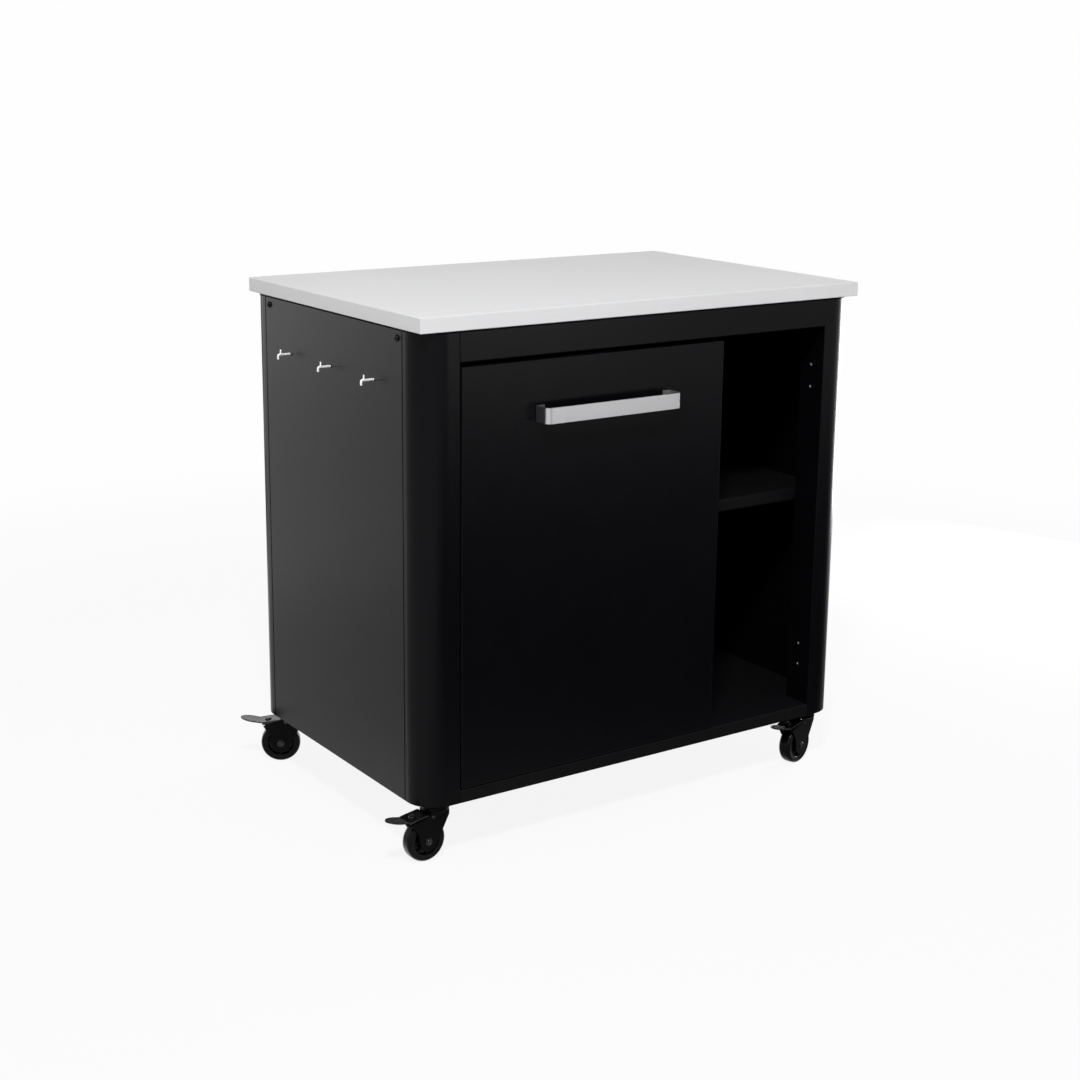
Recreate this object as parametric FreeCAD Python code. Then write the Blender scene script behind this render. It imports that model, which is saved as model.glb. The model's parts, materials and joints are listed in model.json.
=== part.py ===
import FreeCAD
import Part
import math
import os

Vector = FreeCAD.Vector

# Driving dimensions, in millimetres. X runs to the right, Y to the back, Z up from the floor.
# While the parts are built, X and Y are counted from the middle of the cabinet.

# Worktop
TOP_WIDTH = 900.0
TOP_DEPTH = 589.0
TOP_HEIGHT = 899.0
TOP_THICKNESS = 24.5
TOP_EDGE_RADIUS = 1.2
TOP_RETURN = 15.0

# Cabinet shell
SHEET = 1.5
SIDE_OVERHANG = 3.0
FRONT_OVERHANG = 2.5
LEFT = -TOP_WIDTH / 2 + SIDE_OVERHANG
RIGHT = TOP_WIDTH / 2 - SIDE_OVERHANG
FRONT = -TOP_DEPTH / 2 + FRONT_OVERHANG
REAR = TOP_DEPTH / 2
CASTER_HEIGHT = 100.5
BODY_TOP = TOP_HEIGHT - TOP_THICKNESS
BEND = 2.0

# Corner columns
COLUMN_WIDTH = 69.5
COLUMN_DEPTH = 59.5
COLUMN_RADIUS = 50.0
COLUMN_SIDE = 57.0
COLUMN_INNER = RIGHT - COLUMN_WIDTH
SEAM = 1.0
FOOT_PLATE = 3.0

# Floor, shelf and divider
LIP = 22.0
LIP_RETURN = 10.0
FLOOR_TOP = CASTER_HEIGHT + LIP
SHELF_TOP = 520.0
SHELF_FRONT = FRONT + COLUMN_DEPTH + 4.5
SHELF_REAR = REAR - COLUMN_DEPTH - 1.5
DIVIDER_RIGHT = 147.0
DIVIDER_FRONT = FRONT + 22.0
HEM = 10.0
PANEL_FLANGE = 15.0
SHELF_BRACKET = 20.0
SHELF_BRACKET_WIDTH = 30.0
SHELF_BRACKET_INSET = 60.0

# Front rail and worktop channels
RAIL_HEIGHT = 50.0
RAIL_DEPTH = 40.0
CHANNEL_LENGTH = 740.0
CHANNEL_WIDTH = 60.0
CHANNEL_CROWN = 36.0
CHANNEL_HEIGHT = 21.0
CHANNEL_OFFSET = 130.0

# Pull-out front, handle and tray
GAP_LEFT = 2.3
GAP_BELOW = 1.5
GAP_ABOVE = 7.0
PULL_LEFT = -COLUMN_INNER + GAP_LEFT
PULL_RIGHT = 148.0
PULL_BOTTOM = FLOOR_TOP + GAP_BELOW
PULL_TOP = BODY_TOP - RAIL_HEIGHT - GAP_ABOVE
PULL_THICKNESS = 19.0
LINER_DEPTH = 12.0
PULL_TRAVEL = 460.0
HANDLE_LENGTH = 270.0
HANDLE_MIDDLE_X = -102.0
HANDLE_MIDDLE_Z = 732.0
HANDLE_HEIGHT = 25.6
HANDLE_REACH = 34.0
HANDLE_BAR = 2.5
HANDLE_RADIUS = 10.0
HANDLE_TAB = 16.0
TRAY_BOTTOM = 140.0
TRAY_HEIGHT = 96.0
TRAY_HEM = 8.0
TRAY_REAR = 262.0
GUSSET_HEIGHT = 360.0
GUSSET_LENGTH = 240.0
GUSSET_SHEET = 2.0
GUSSET_HEEL = 90.0
GUSSET_TOE = 24.0
GUSSET_STRIP = 22.0

# Slides
SLIDE_LENGTH = PULL_TRAVEL + 60.0
SLIDE_OUTER_LENGTH = SLIDE_LENGTH + 25.0
SLIDE_FRONT = FRONT + 22.5
SLIDE_THICKNESS = 12.7
SLIDE_OUTER_HEIGHT = 45.7
SLIDE_MIDDLE_HEIGHT = 36.0
SLIDE_INNER_HEIGHT = 27.0
SLIDE_OUTER_DEPTH = 10.5
SLIDE_MIDDLE_NEAR = 2.2
SLIDE_MIDDLE_FAR = 10.4
SLIDE_MIDDLE_BALLS = 6.0
SLIDE_INNER_NEAR = 4.4
SLIDE_INNER_BALLS = 7.4
SLIDE_SHEET = 1.4
STAND_OFF = 6.0
STAND_OFF_WIDTH = 21.0
BRACKET_SHEET = 2.0
BALL_STRIP_WIDTH = 3.2
BALL_PLAY = 0.3

# Slide brackets, on the column's screw pairs
BRACKET_FRONT_INSET = 33.0
BRACKET_REAR_INSET = 31.5
BRACKET_BOTTOM = 186.0
BRACKET_TOP = 239.5
BRACKET_CROWN = 24.0
SLIDE_MIDDLE_Z = (BRACKET_BOTTOM + BRACKET_TOP) / 2

# Tool pegs on the left side
PEG_SPACING = 145.0
PEG_Z = 783.5
PEG_REACH = 25.0
PEG_RADIUS = 2.0
PEG_TIP_DROP = 8.5
PEG_STOP_X = 18.3
PEG_STOP_HALF = 1.3
PEG_STOP_RISE = 9.0

# Casters. The trail runs from the swivel axis to the axle; headings are in degrees from +X.
CASTER_INSET_X = 45.5
CASTER_INSET_Y = 38.5
CASTER_HEADINGS = {"front_left": 183.0, "front_right": 195.0, "rear_left": 151.0, "rear_right": 165.0}
TRAIL = 23.4
WHEEL_RADIUS = 36.0
WHEEL_HALF_WIDTH = 12.0
AXLE_RADIUS = 4.0
AXLE_PLAY = 0.06
AXLE_HEAD = 13.0
AXLE_HEAD_HEIGHT = 4.0
RACE_RADIUS = 20.0
RACE_HEIGHT = 5.0
CROWN_RADIUS = 23.0
CROWN_BOTTOM = 84.0
CROWN_TOP = 95.2
STEM_RADIUS = 6.0
STEM_PLAY = 0.06
STEM_HEAD = 15.0
STEM_HEAD_BOTTOM = 79.5
STEM_HEAD_PLAY = 0.3
CHEEK_INNER = 13.2
CHEEK_OUTER = 15.7
CHEEK_BACK = -17.0
CHEEK_SHOULDER_Z = 76.0
CHEEK_HEEL = (11.5, 13.0, 14.0)
CHEEK_TOE = (37.5, 17.5, 14.0)
CHEEK_THROAT = (42.5, 52.0, 0)
CHEEK_LUG = (55.0, 71.0, 0)
CHEEK_FRONT = 20.5
CHEEK_FRONT_Z = 80.4
BRAKE_PIVOT_A = 14.0
BRAKE_PIVOT_Z = 77.6
BRAKE_SHEET = 2.2
BRAKE_HALF_WIDTH = 16.5
BRAKE_BARREL = 12.8
BRAKE_BARREL_RADIUS = 3.6
BRAKE_BARREL_CHAMFER = 1.5
BRAKE_PIN_RADIUS = 2.0
BRAKE_WEB_END = 40.0
BRAKE_WEB_RISE = 4.4
BRAKE_WEB_THICKNESS = 2.6
BRAKE_FRONT = 24.0
BRAKE_FRONT_Z = 83.6
BRAKE_KNEE = 60.0
BRAKE_KNEE_Z = 78.6
BRAKE_COVER_END = 57.0
BRAKE_NECK = 63.5
BRAKE_NECK_HALF = 7.0
BRAKE_LEAF = 76.0
BRAKE_LEAF_HALF = 13.5
BRAKE_TIP = 96.5
BRAKE_TIP_Z = 85.6
BRAKE_TIP_HALF = 11.0
BRAKE_TIP_RADIUS = 10.0
BRAKE_TRAVEL = 7.0
SHOE_SPAN = (32.0, 38.0, 44.0)
SHOE_HALF_WIDTH = 9.0
SHOE_REST_GAP = 1.3
SHOE_GAP = SHOE_REST_GAP + (SHOE_SPAN[1] - BRAKE_PIVOT_A) * math.sin(math.radians(BRAKE_TRAVEL))


# Profiles and simple solids

def corner_arc(before, corner, after, radius):
    """Start, middle and end of the arc that rounds one corner of a flat outline."""
    to_before = (before[0] - corner[0], before[1] - corner[1])
    to_after = (after[0] - corner[0], after[1] - corner[1])
    length_before = math.hypot(*to_before)
    length_after = math.hypot(*to_after)
    first = (to_before[0] / length_before, to_before[1] / length_before)
    last = (to_after[0] / length_after, to_after[1] / length_after)
    half = math.acos(max(-1.0, min(1.0, first[0] * last[0] + first[1] * last[1]))) / 2
    reach = radius / math.tan(half)
    middle_x = first[0] + last[0]
    middle_y = first[1] + last[1]
    middle_length = math.hypot(middle_x, middle_y)
    depth = radius / math.sin(half) - radius
    start = (corner[0] + first[0] * reach, corner[1] + first[1] * reach)
    middle = (corner[0] + middle_x / middle_length * depth, corner[1] + middle_y / middle_length * depth)
    end = (corner[0] + last[0] * reach, corner[1] + last[1] * reach)
    return start, middle, end


def outline_face(corners, place):
    """Flat face from (u, v, radius) corners; place turns u and v into a point."""
    edges = []
    count = len(corners)
    runs = []
    for index, (u, v, radius) in enumerate(corners):
        if radius > 0:
            runs.append(corner_arc(corners[index - 1], (u, v), corners[(index + 1) % count], radius))
        else:
            runs.append(((u, v), None, (u, v)))
    for index, (start, middle, end) in enumerate(runs):
        if middle is not None:
            edges.append(Part.Arc(place(*start), place(*middle), place(*end)).toShape())
        following = runs[(index + 1) % count][0]
        if math.hypot(following[0] - end[0], following[1] - end[1]) > 1e-6:
            edges.append(Part.LineSegment(place(*end), place(*following)).toShape())
    return Part.Face(Part.Wire(edges))


def prism_x(corners, x0, x1):
    """Solid of a (y, z) outline between two X planes."""
    return outline_face(corners, lambda y, z: Vector(x0, y, z)).extrude(Vector(x1 - x0, 0, 0))


def prism_y(corners, y0, y1):
    """Solid of an (x, z) outline between two Y planes."""
    return outline_face(corners, lambda x, z: Vector(x, y0, z)).extrude(Vector(0, y1 - y0, 0))


def prism_z(corners, z0, z1):
    """Solid of an (x, y) outline between two heights."""
    return outline_face(corners, lambda x, y: Vector(x, y, z0)).extrude(Vector(0, 0, z1 - z0))


def box(x0, x1, y0, y1, z0, z1):
    """Plain block between six planes."""
    corner = Vector(min(x0, x1), min(y0, y1), min(z0, z1))
    return Part.makeBox(abs(x1 - x0), abs(y1 - y0), abs(z1 - z0), corner)


def rod(radius, start, end):
    """Round bar between two points."""
    axis = end - start
    return Part.makeCylinder(radius, axis.Length, start, axis)


def hexagon(across_flats, start, axis):
    """Hexagonal bolt head standing on start along axis."""
    corner = across_flats / math.sqrt(3)
    angles = [math.radians(60 * step) for step in range(6)]
    points = [Vector(corner * math.cos(angle), corner * math.sin(angle), 0) for angle in angles]
    face = Part.Face(Part.makePolygon(points + points[:1]))
    solid = face.extrude(Vector(0, 0, axis.Length))
    solid.Placement = FreeCAD.Placement(start, FreeCAD.Rotation(Vector(0, 0, 1), axis))
    return solid


def mirrored_x(shape):
    """The same piece for the other side of the cabinet."""
    return shape.mirror(Vector(0, 0, 0), Vector(1, 0, 0))


def mirrored_y(shape, middle):
    """The same piece turned front to back about a plane at the given Y."""
    return shape.mirror(Vector(0, middle, 0), Vector(0, 1, 0))


def folded_tray(x0, x1, y0, y1, closed_z, open_z, lip):
    """Folded tray with a flat face at closed_z, four walls and an inward lip round the open side."""
    up = 1 if open_z > closed_z else -1
    tray = box(x0, x1, y0, y1, closed_z, open_z)
    hollow = box(x0 + SHEET, x1 - SHEET, y0 + SHEET, y1 - SHEET, closed_z + up * SHEET, open_z - up * SHEET)
    mouth = box(x0 + lip, x1 - lip, y0 + lip, y1 - lip, open_z - 2 * up * SHEET, open_z + up * SHEET)
    return tray.cut(hollow).cut(mouth)


def edges_at(shape, y=None, z=None):
    """Edges of a shape whose middle lies at a given Y, a given Z or both."""
    found = []
    for edge in shape.Edges:
        middle = edge.CenterOfMass
        if (y is None or abs(middle.y - y) < 0.01) and (z is None or abs(middle.z - z) < 0.01):
            found.append(edge)
    return found


# Fixed cabinet

def worktop():
    """Folded worktop with small bends round its top face."""
    top = folded_tray(-TOP_WIDTH / 2, TOP_WIDTH / 2, -TOP_DEPTH / 2, TOP_DEPTH / 2,
                      TOP_HEIGHT, BODY_TOP, TOP_RETURN)
    return top.makeFillet(TOP_EDGE_RADIUS, edges_at(top, z=TOP_HEIGHT))


def worktop_channels():
    """Two hat-section stiffeners under the worktop, running from side to side."""
    under = TOP_HEIGHT - SHEET
    crown = under - CHANNEL_HEIGHT
    half = CHANNEL_WIDTH / 2
    web = CHANNEL_CROWN / 2
    channels = []
    for middle in (-CHANNEL_OFFSET, CHANNEL_OFFSET):
        section = [(middle - half, under, 0), (middle - web, under, 0), (middle - web, crown + SHEET, 0),
                   (middle + web, crown + SHEET, 0), (middle + web, under, 0), (middle + half, under, 0),
                   (middle + half, under - SHEET, 0), (middle + web + SHEET, under - SHEET, 0),
                   (middle + web + SHEET, crown, 0), (middle - web - SHEET, crown, 0),
                   (middle - web - SHEET, under - SHEET, 0), (middle - half, under - SHEET, 0)]
        channels.append(prism_x(section, -CHANNEL_LENGTH / 2, CHANNEL_LENGTH / 2))
    return Part.makeCompound(channels)


def column():
    """Right front column: a folded box with one large round corner and an open slit at its side."""
    inner_x = COLUMN_INNER
    back_y = FRONT + COLUMN_DEPTH
    outside = [(inner_x, FRONT, BEND), (RIGHT, FRONT, COLUMN_RADIUS), (RIGHT, back_y, 0),
               (inner_x, back_y, 0)]
    inside = [(inner_x + SHEET, FRONT + SHEET, 0), (RIGHT - SHEET, FRONT + SHEET, COLUMN_RADIUS - SHEET),
              (RIGHT - SHEET, back_y - SHEET, 0), (inner_x + SHEET, back_y - SHEET, 0)]
    shell = prism_z(outside, CASTER_HEIGHT, BODY_TOP)
    shell = shell.cut(prism_z(inside, CASTER_HEIGHT - 1, BODY_TOP + 1))
    slit = box(RIGHT - SHEET, RIGHT + 1, FRONT + COLUMN_SIDE, back_y + 1, CASTER_HEIGHT - 1, BODY_TOP + 1)
    return shell.cut(slit)


def at_corner(shape, corner):
    """Copy of a right front piece at the named corner."""
    middle = (FRONT + REAR) / 2
    if corner.startswith("rear"):
        shape = mirrored_y(shape, middle)
    if corner.endswith("left"):
        shape = mirrored_x(shape)
    return shape


def swivel_point(corner):
    """Point on the floor below the swivel axis of a caster."""
    x = RIGHT - CASTER_INSET_X
    y = FRONT + CASTER_INSET_Y
    if corner.endswith("left"):
        x = LEFT + CASTER_INSET_X
    if corner.startswith("rear"):
        y = REAR - CASTER_INSET_Y
    return Vector(x, y, 0)


def foot_plates():
    """Four plates inside the feet of the columns, which carry the casters."""
    back_y = FRONT + COLUMN_DEPTH
    outline = [(COLUMN_INNER + SHEET, FRONT + SHEET, 0),
               (RIGHT - SHEET, FRONT + SHEET, COLUMN_RADIUS - SHEET),
               (RIGHT - SHEET, back_y - SHEET, 0), (COLUMN_INNER + SHEET, back_y - SHEET, 0)]
    plate = prism_z(outline, CASTER_HEIGHT, CASTER_HEIGHT + FOOT_PLATE)
    return Part.makeCompound([at_corner(plate, corner) for corner in CASTER_HEADINGS])


def side_panel():
    """Right side panel: flat between the columns, folded inwards at its top and foot."""
    inner = RIGHT - PANEL_FLANGE
    section = [(RIGHT, CASTER_HEIGHT, 0), (RIGHT, BODY_TOP, 0), (inner, BODY_TOP, 0),
               (inner, BODY_TOP - SHEET, 0), (RIGHT - SHEET, BODY_TOP - SHEET, 0),
               (RIGHT - SHEET, CASTER_HEIGHT + SHEET, 0), (inner, CASTER_HEIGHT + SHEET, 0),
               (inner, CASTER_HEIGHT, 0)]
    start = FRONT + COLUMN_SIDE + SEAM
    end = REAR - COLUMN_SIDE - SEAM
    panel = prism_y(section, start, end)
    for y0, y1 in ((start - 1, FRONT + COLUMN_DEPTH), (REAR - COLUMN_DEPTH, end + 1)):
        panel = panel.cut(box(inner - 1, RIGHT - SHEET, y0, y1, CASTER_HEIGHT - 1, BODY_TOP + 1))
    return panel


def back_panel():
    """Back panel between the rear columns, folded forwards along both uprights."""
    x1 = COLUMN_INNER
    fold = REAR - PANEL_FLANGE
    section = [(-x1, fold, 0), (-x1, REAR, 0), (x1, REAR, 0), (x1, fold, 0), (x1 - SHEET, fold, 0),
               (x1 - SHEET, REAR - SHEET, 0), (SHEET - x1, REAR - SHEET, 0), (SHEET - x1, fold, 0)]
    return prism_z(section, FLOOR_TOP, BODY_TOP)


def front_rail():
    """Top rail between the front columns: a channel open to the back."""
    z0 = BODY_TOP - RAIL_HEIGHT
    back = FRONT + RAIL_DEPTH
    section = [(FRONT, z0, BEND), (back, z0, 0), (back, z0 + SHEET, 0), (FRONT + SHEET, z0 + SHEET, 0),
               (FRONT + SHEET, BODY_TOP - SHEET, 0), (back, BODY_TOP - SHEET, 0), (back, BODY_TOP, 0),
               (FRONT, BODY_TOP, 0)]
    return prism_x(section, -COLUMN_INNER, COLUMN_INNER)


def floor_outline(inset):
    """Outline of the floor, notched at the four columns and drawn in by inset."""
    x_side = RIGHT - SHEET - inset
    x_column = COLUMN_INNER - inset
    y_front = FRONT + inset
    y_notch_front = FRONT + COLUMN_DEPTH + inset
    y_notch_rear = REAR - COLUMN_DEPTH - inset
    y_rear = REAR - inset
    right = [(x_column, y_front), (x_column, y_notch_front), (x_side, y_notch_front), (x_side, y_notch_rear),
             (x_column, y_notch_rear), (x_column, y_rear)]
    left = [(-x, y) for x, y in reversed(right)]
    return [(x, y, 0) for x, y in right + left]


def floor_panel():
    """Cabinet floor: one folded sheet with lips down all round and small returns inwards."""
    bottom = CASTER_HEIGHT
    floor = prism_z(floor_outline(0), bottom, FLOOR_TOP)
    floor = floor.cut(prism_z(floor_outline(SHEET), bottom + SHEET, FLOOR_TOP - SHEET))
    floor = floor.cut(prism_z(floor_outline(LIP_RETURN), bottom - 1, bottom + 2 * SHEET))
    for side in (-1, 1):
        flange_edge = side * (RIGHT - PANEL_FLANGE)
        floor = floor.cut(box(flange_edge, side * RIGHT, FRONT, REAR, bottom - 1, bottom + SHEET))
    return floor.makeFillet(SHEET, edges_at(floor, y=FRONT, z=FLOOR_TOP))


def divider_panel():
    """Upright divider behind the free edge of the pull-out front, notched for the top rail."""
    left = DIVIDER_RIGHT - PANEL_FLANGE
    inner = DIVIDER_RIGHT - SHEET
    section = [(DIVIDER_RIGHT, FLOOR_TOP, 0), (DIVIDER_RIGHT, BODY_TOP, 0), (left, BODY_TOP, 0),
               (left, BODY_TOP - SHEET, 0), (inner, BODY_TOP - SHEET, 0), (inner, FLOOR_TOP + SHEET, 0),
               (left, FLOOR_TOP + SHEET, 0), (left, FLOOR_TOP, 0)]
    panel = prism_y(section, DIVIDER_FRONT, REAR - SHEET)
    rail_bottom = BODY_TOP - RAIL_HEIGHT
    hem = box(inner - SHEET, inner, DIVIDER_FRONT, DIVIDER_FRONT + HEM, FLOOR_TOP + SHEET, rail_bottom)
    panel = panel.fuse(hem)
    rail_back = FRONT + RAIL_DEPTH
    notch = box(left - 1, DIVIDER_RIGHT + 1, DIVIDER_FRONT - 1, rail_back, rail_bottom, BODY_TOP + 1)
    return panel.cut(notch).removeSplitter()


def shelf():
    """Shelf of the open compartment, folded down on all sides."""
    tray = folded_tray(DIVIDER_RIGHT, RIGHT - SHEET, SHELF_FRONT, SHELF_REAR, SHELF_TOP, SHELF_TOP - LIP,
                       LIP_RETURN)
    return tray.makeFillet(SHEET, edges_at(tray, y=SHELF_FRONT, z=SHELF_TOP))


def shelf_brackets():
    """Four angle brackets under the shelf, two on the divider and two on the side panel."""
    top = SHELF_TOP - LIP
    half = SHELF_BRACKET_WIDTH / 2
    brackets = []
    for wall, side in ((DIVIDER_RIGHT, 1), (RIGHT - SHEET, -1)):
        reach = wall + side * SHELF_BRACKET
        face = wall + side * SHEET
        section = [(wall, top, 0), (reach, top, 0), (reach, top - SHEET, 0), (face, top - SHEET, 0),
                   (face, top - SHELF_BRACKET, 0), (wall, top - SHELF_BRACKET, 0)]
        for middle in (SHELF_FRONT + SHELF_BRACKET_INSET, SHELF_REAR - SHELF_BRACKET_INSET):
            brackets.append(prism_y(section, middle - half, middle + half))
    return Part.makeCompound(brackets)


# Tool pegs

def tool_pegs():
    """Three pegs for tools on the left side panel, each with its tip turned down and an upright stop."""
    pegs = []
    for y in (-PEG_SPACING, 0.0, PEG_SPACING):
        foot = Vector(LEFT, y, PEG_Z)
        thick = 2 * PEG_RADIUS
        tip_x = LEFT - PEG_REACH
        stop_x = LEFT - PEG_STOP_X
        shaft = rod(PEG_RADIUS, foot, Vector(tip_x + thick, y, PEG_Z))
        tip = box(tip_x, tip_x + thick, y - PEG_RADIUS, y + PEG_RADIUS,
                  PEG_Z - PEG_TIP_DROP, PEG_Z + PEG_RADIUS)
        stop = box(stop_x - PEG_STOP_HALF, stop_x + PEG_STOP_HALF, y - PEG_STOP_HALF, y + PEG_STOP_HALF,
                   PEG_Z, PEG_Z + PEG_STOP_RISE)
        pegs.append(shaft.fuse(tip).fuse(stop).removeSplitter())
    return Part.makeCompound(pegs)


# Pull-out

def pull_out_front():
    """Outer skin of the pull-out front: a shallow pan, open to the back, with a return all round."""
    outer = box(PULL_LEFT, PULL_RIGHT, FRONT, FRONT + PULL_THICKNESS, PULL_BOTTOM, PULL_TOP)
    outer = outer.makeFillet(SHEET, edges_at(outer, y=FRONT))
    return outer.cut(box(PULL_LEFT + SHEET, PULL_RIGHT - SHEET, FRONT + SHEET, FRONT + PULL_THICKNESS + 1,
                         PULL_BOTTOM + SHEET, PULL_TOP - SHEET))


def pull_out_liner():
    """Inner skin, folded like the outer one, that closes the back of the pull-out front."""
    back = FRONT + PULL_THICKNESS
    liner = box(PULL_LEFT + SHEET, PULL_RIGHT - SHEET, back - LINER_DEPTH, back, PULL_BOTTOM + SHEET,
                PULL_TOP - SHEET)
    return liner.cut(box(PULL_LEFT + 2 * SHEET, PULL_RIGHT - 2 * SHEET, back - LINER_DEPTH - 1, back - SHEET,
                         PULL_BOTTOM + 2 * SHEET, PULL_TOP - 2 * SHEET))


def handle():
    """Strap handle: one flat bar bent back at both ends, with a tab on the skin at each foot."""
    x0 = HANDLE_MIDDLE_X - HANDLE_LENGTH / 2
    x1 = HANDLE_MIDDLE_X + HANDLE_LENGTH / 2
    bar = HANDLE_BAR
    face = FRONT - HANDLE_REACH
    inner_radius = HANDLE_RADIUS - bar
    section = [(x0, FRONT, 0), (x0, face, HANDLE_RADIUS), (x1, face, HANDLE_RADIUS), (x1, FRONT, 0),
               (x1 - HANDLE_TAB, FRONT, 0), (x1 - HANDLE_TAB, FRONT - bar, 0), (x1 - bar, FRONT - bar, 0),
               (x1 - bar, face + bar, inner_radius), (x0 + bar, face + bar, inner_radius),
               (x0 + bar, FRONT - bar, 0), (x0 + HANDLE_TAB, FRONT - bar, 0), (x0 + HANDLE_TAB, FRONT, 0)]
    half = HANDLE_HEIGHT / 2
    return prism_z(section, HANDLE_MIDDLE_Z - half, HANDLE_MIDDLE_Z + half)


def tray_sides():
    """Left and right outer faces of the tray, between the two slides."""
    reach = STAND_OFF + SLIDE_THICKNESS
    return -COLUMN_INNER + reach, DIVIDER_RIGHT - SHEET - reach


def pull_out_tray():
    """Tray of the pull-out: a floor and three walls, each with a hem turned in along its top."""
    left, right = tray_sides()
    front = FRONT + PULL_THICKNESS
    floor = TRAY_BOTTOM + SHEET
    top = TRAY_BOTTOM + TRAY_HEIGHT
    pieces = [box(left, right, front, TRAY_REAR, TRAY_BOTTOM, floor)]
    for face, inward in ((left, 1), (right, -1)):
        web = face + inward * SHEET
        edge = face + inward * TRAY_HEM
        section = [(face, floor, 0), (web, floor, 0), (web, top - SHEET, 0), (edge, top - SHEET, 0),
                   (edge, top, 0), (face, top, 0)]
        pieces.append(prism_y(section, front, TRAY_REAR))
    web = TRAY_REAR - SHEET
    edge = TRAY_REAR - TRAY_HEM
    section = [(TRAY_REAR, floor, 0), (web, floor, 0), (web, top - SHEET, 0), (edge, top - SHEET, 0),
               (edge, top, 0), (TRAY_REAR, top, 0)]
    pieces.append(prism_x(section, left + SHEET, right - SHEET).cut(pieces[1]).cut(pieces[2]))
    return Part.makeCompound(pieces)


def tray_gussets():
    """Two gussets that tie the tall front to the tray, each with a fixing strip across its front edge."""
    left, right = tray_sides()
    back = FRONT + PULL_THICKNESS
    y0 = back + GUSSET_SHEET
    y1 = back + GUSSET_LENGTH
    z0 = TRAY_BOTTOM + SHEET
    z1 = z0 + GUSSET_HEIGHT
    outline = [(y0, z0, 0), (y1, z0, 0), (y1, z0 + GUSSET_HEEL, 0), (back + GUSSET_TOE, z1, 0), (y0, z1, 0)]
    pieces = []
    for face, side in ((left + TRAY_HEM, 1), (right - TRAY_HEM, -1)):
        pieces.append(prism_x(outline, face, face + side * GUSSET_SHEET))
        pieces.append(box(face, face + side * GUSSET_STRIP, back, y0, z0, z1))
    return Part.makeCompound(pieces)


# Slides. Sections are drawn for the left wall, with distance counted from the slide's outer face.

def channel_section(near, far, height, web_near):
    """Channel lying on its side: near and far limits, height, and the side its web is on."""
    half = height / 2
    mid = SLIDE_MIDDLE_Z
    web = near if web_near else far
    mouth = far if web_near else near
    inner = web + SLIDE_SHEET if web_near else web - SLIDE_SHEET
    return [(web, mid - half, 0), (mouth, mid - half, 0), (mouth, mid - half + SLIDE_SHEET, 0),
            (inner, mid - half + SLIDE_SHEET, 0), (inner, mid + half - SLIDE_SHEET, 0),
            (mouth, mid + half - SLIDE_SHEET, 0), (mouth, mid + half, 0), (web, mid + half, 0)]


def ball_strips(middle, member_height, around_height):
    """Strips that stand for the two rows of balls between a member and the one around it."""
    low = member_height / 2
    high = around_height / 2 - SLIDE_SHEET - BALL_PLAY
    half = BALL_STRIP_WIDTH / 2
    y0 = SLIDE_FRONT + HEM
    y1 = SLIDE_FRONT + SLIDE_LENGTH - HEM
    above = box(middle - half, middle + half, y0, y1, SLIDE_MIDDLE_Z + low, SLIDE_MIDDLE_Z + high)
    below = box(middle - half, middle + half, y0, y1, SLIDE_MIDDLE_Z - high, SLIDE_MIDDLE_Z - low)
    return [above, below]


def slide_outer():
    """Outer member of the left slide, on its brackets."""
    near = STAND_OFF - COLUMN_INNER
    section = channel_section(near, near + SLIDE_OUTER_DEPTH, SLIDE_OUTER_HEIGHT, True)
    return prism_y(section, SLIDE_FRONT, SLIDE_FRONT + SLIDE_OUTER_LENGTH)


def slide_middle():
    """Middle member of the left slide, with its upper and lower ball rows."""
    near = STAND_OFF - COLUMN_INNER
    section = channel_section(near + SLIDE_MIDDLE_NEAR, near + SLIDE_MIDDLE_FAR, SLIDE_MIDDLE_HEIGHT, True)
    member = prism_y(section, SLIDE_FRONT, SLIDE_FRONT + SLIDE_LENGTH)
    strips = ball_strips(near + SLIDE_MIDDLE_BALLS, SLIDE_MIDDLE_HEIGHT, SLIDE_OUTER_HEIGHT)
    return member.fuse(strips).removeSplitter()


def slide_inner():
    """Inner member of the left slide, fixed to the tray."""
    near = STAND_OFF - COLUMN_INNER
    section = channel_section(near + SLIDE_INNER_NEAR, near + SLIDE_THICKNESS, SLIDE_INNER_HEIGHT, False)
    member = prism_y(section, SLIDE_FRONT, SLIDE_FRONT + SLIDE_LENGTH)
    strips = ball_strips(near + SLIDE_INNER_BALLS, SLIDE_INNER_HEIGHT, SLIDE_MIDDLE_HEIGHT)
    return member.fuse(strips).removeSplitter()


def on_divider(shape):
    """The left slide's piece mirrored onto the divider's left face."""
    middle = (DIVIDER_RIGHT - SHEET - COLUMN_INNER) / 2
    return shape.mirror(Vector(middle, 0, 0), Vector(1, 0, 0))


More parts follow.
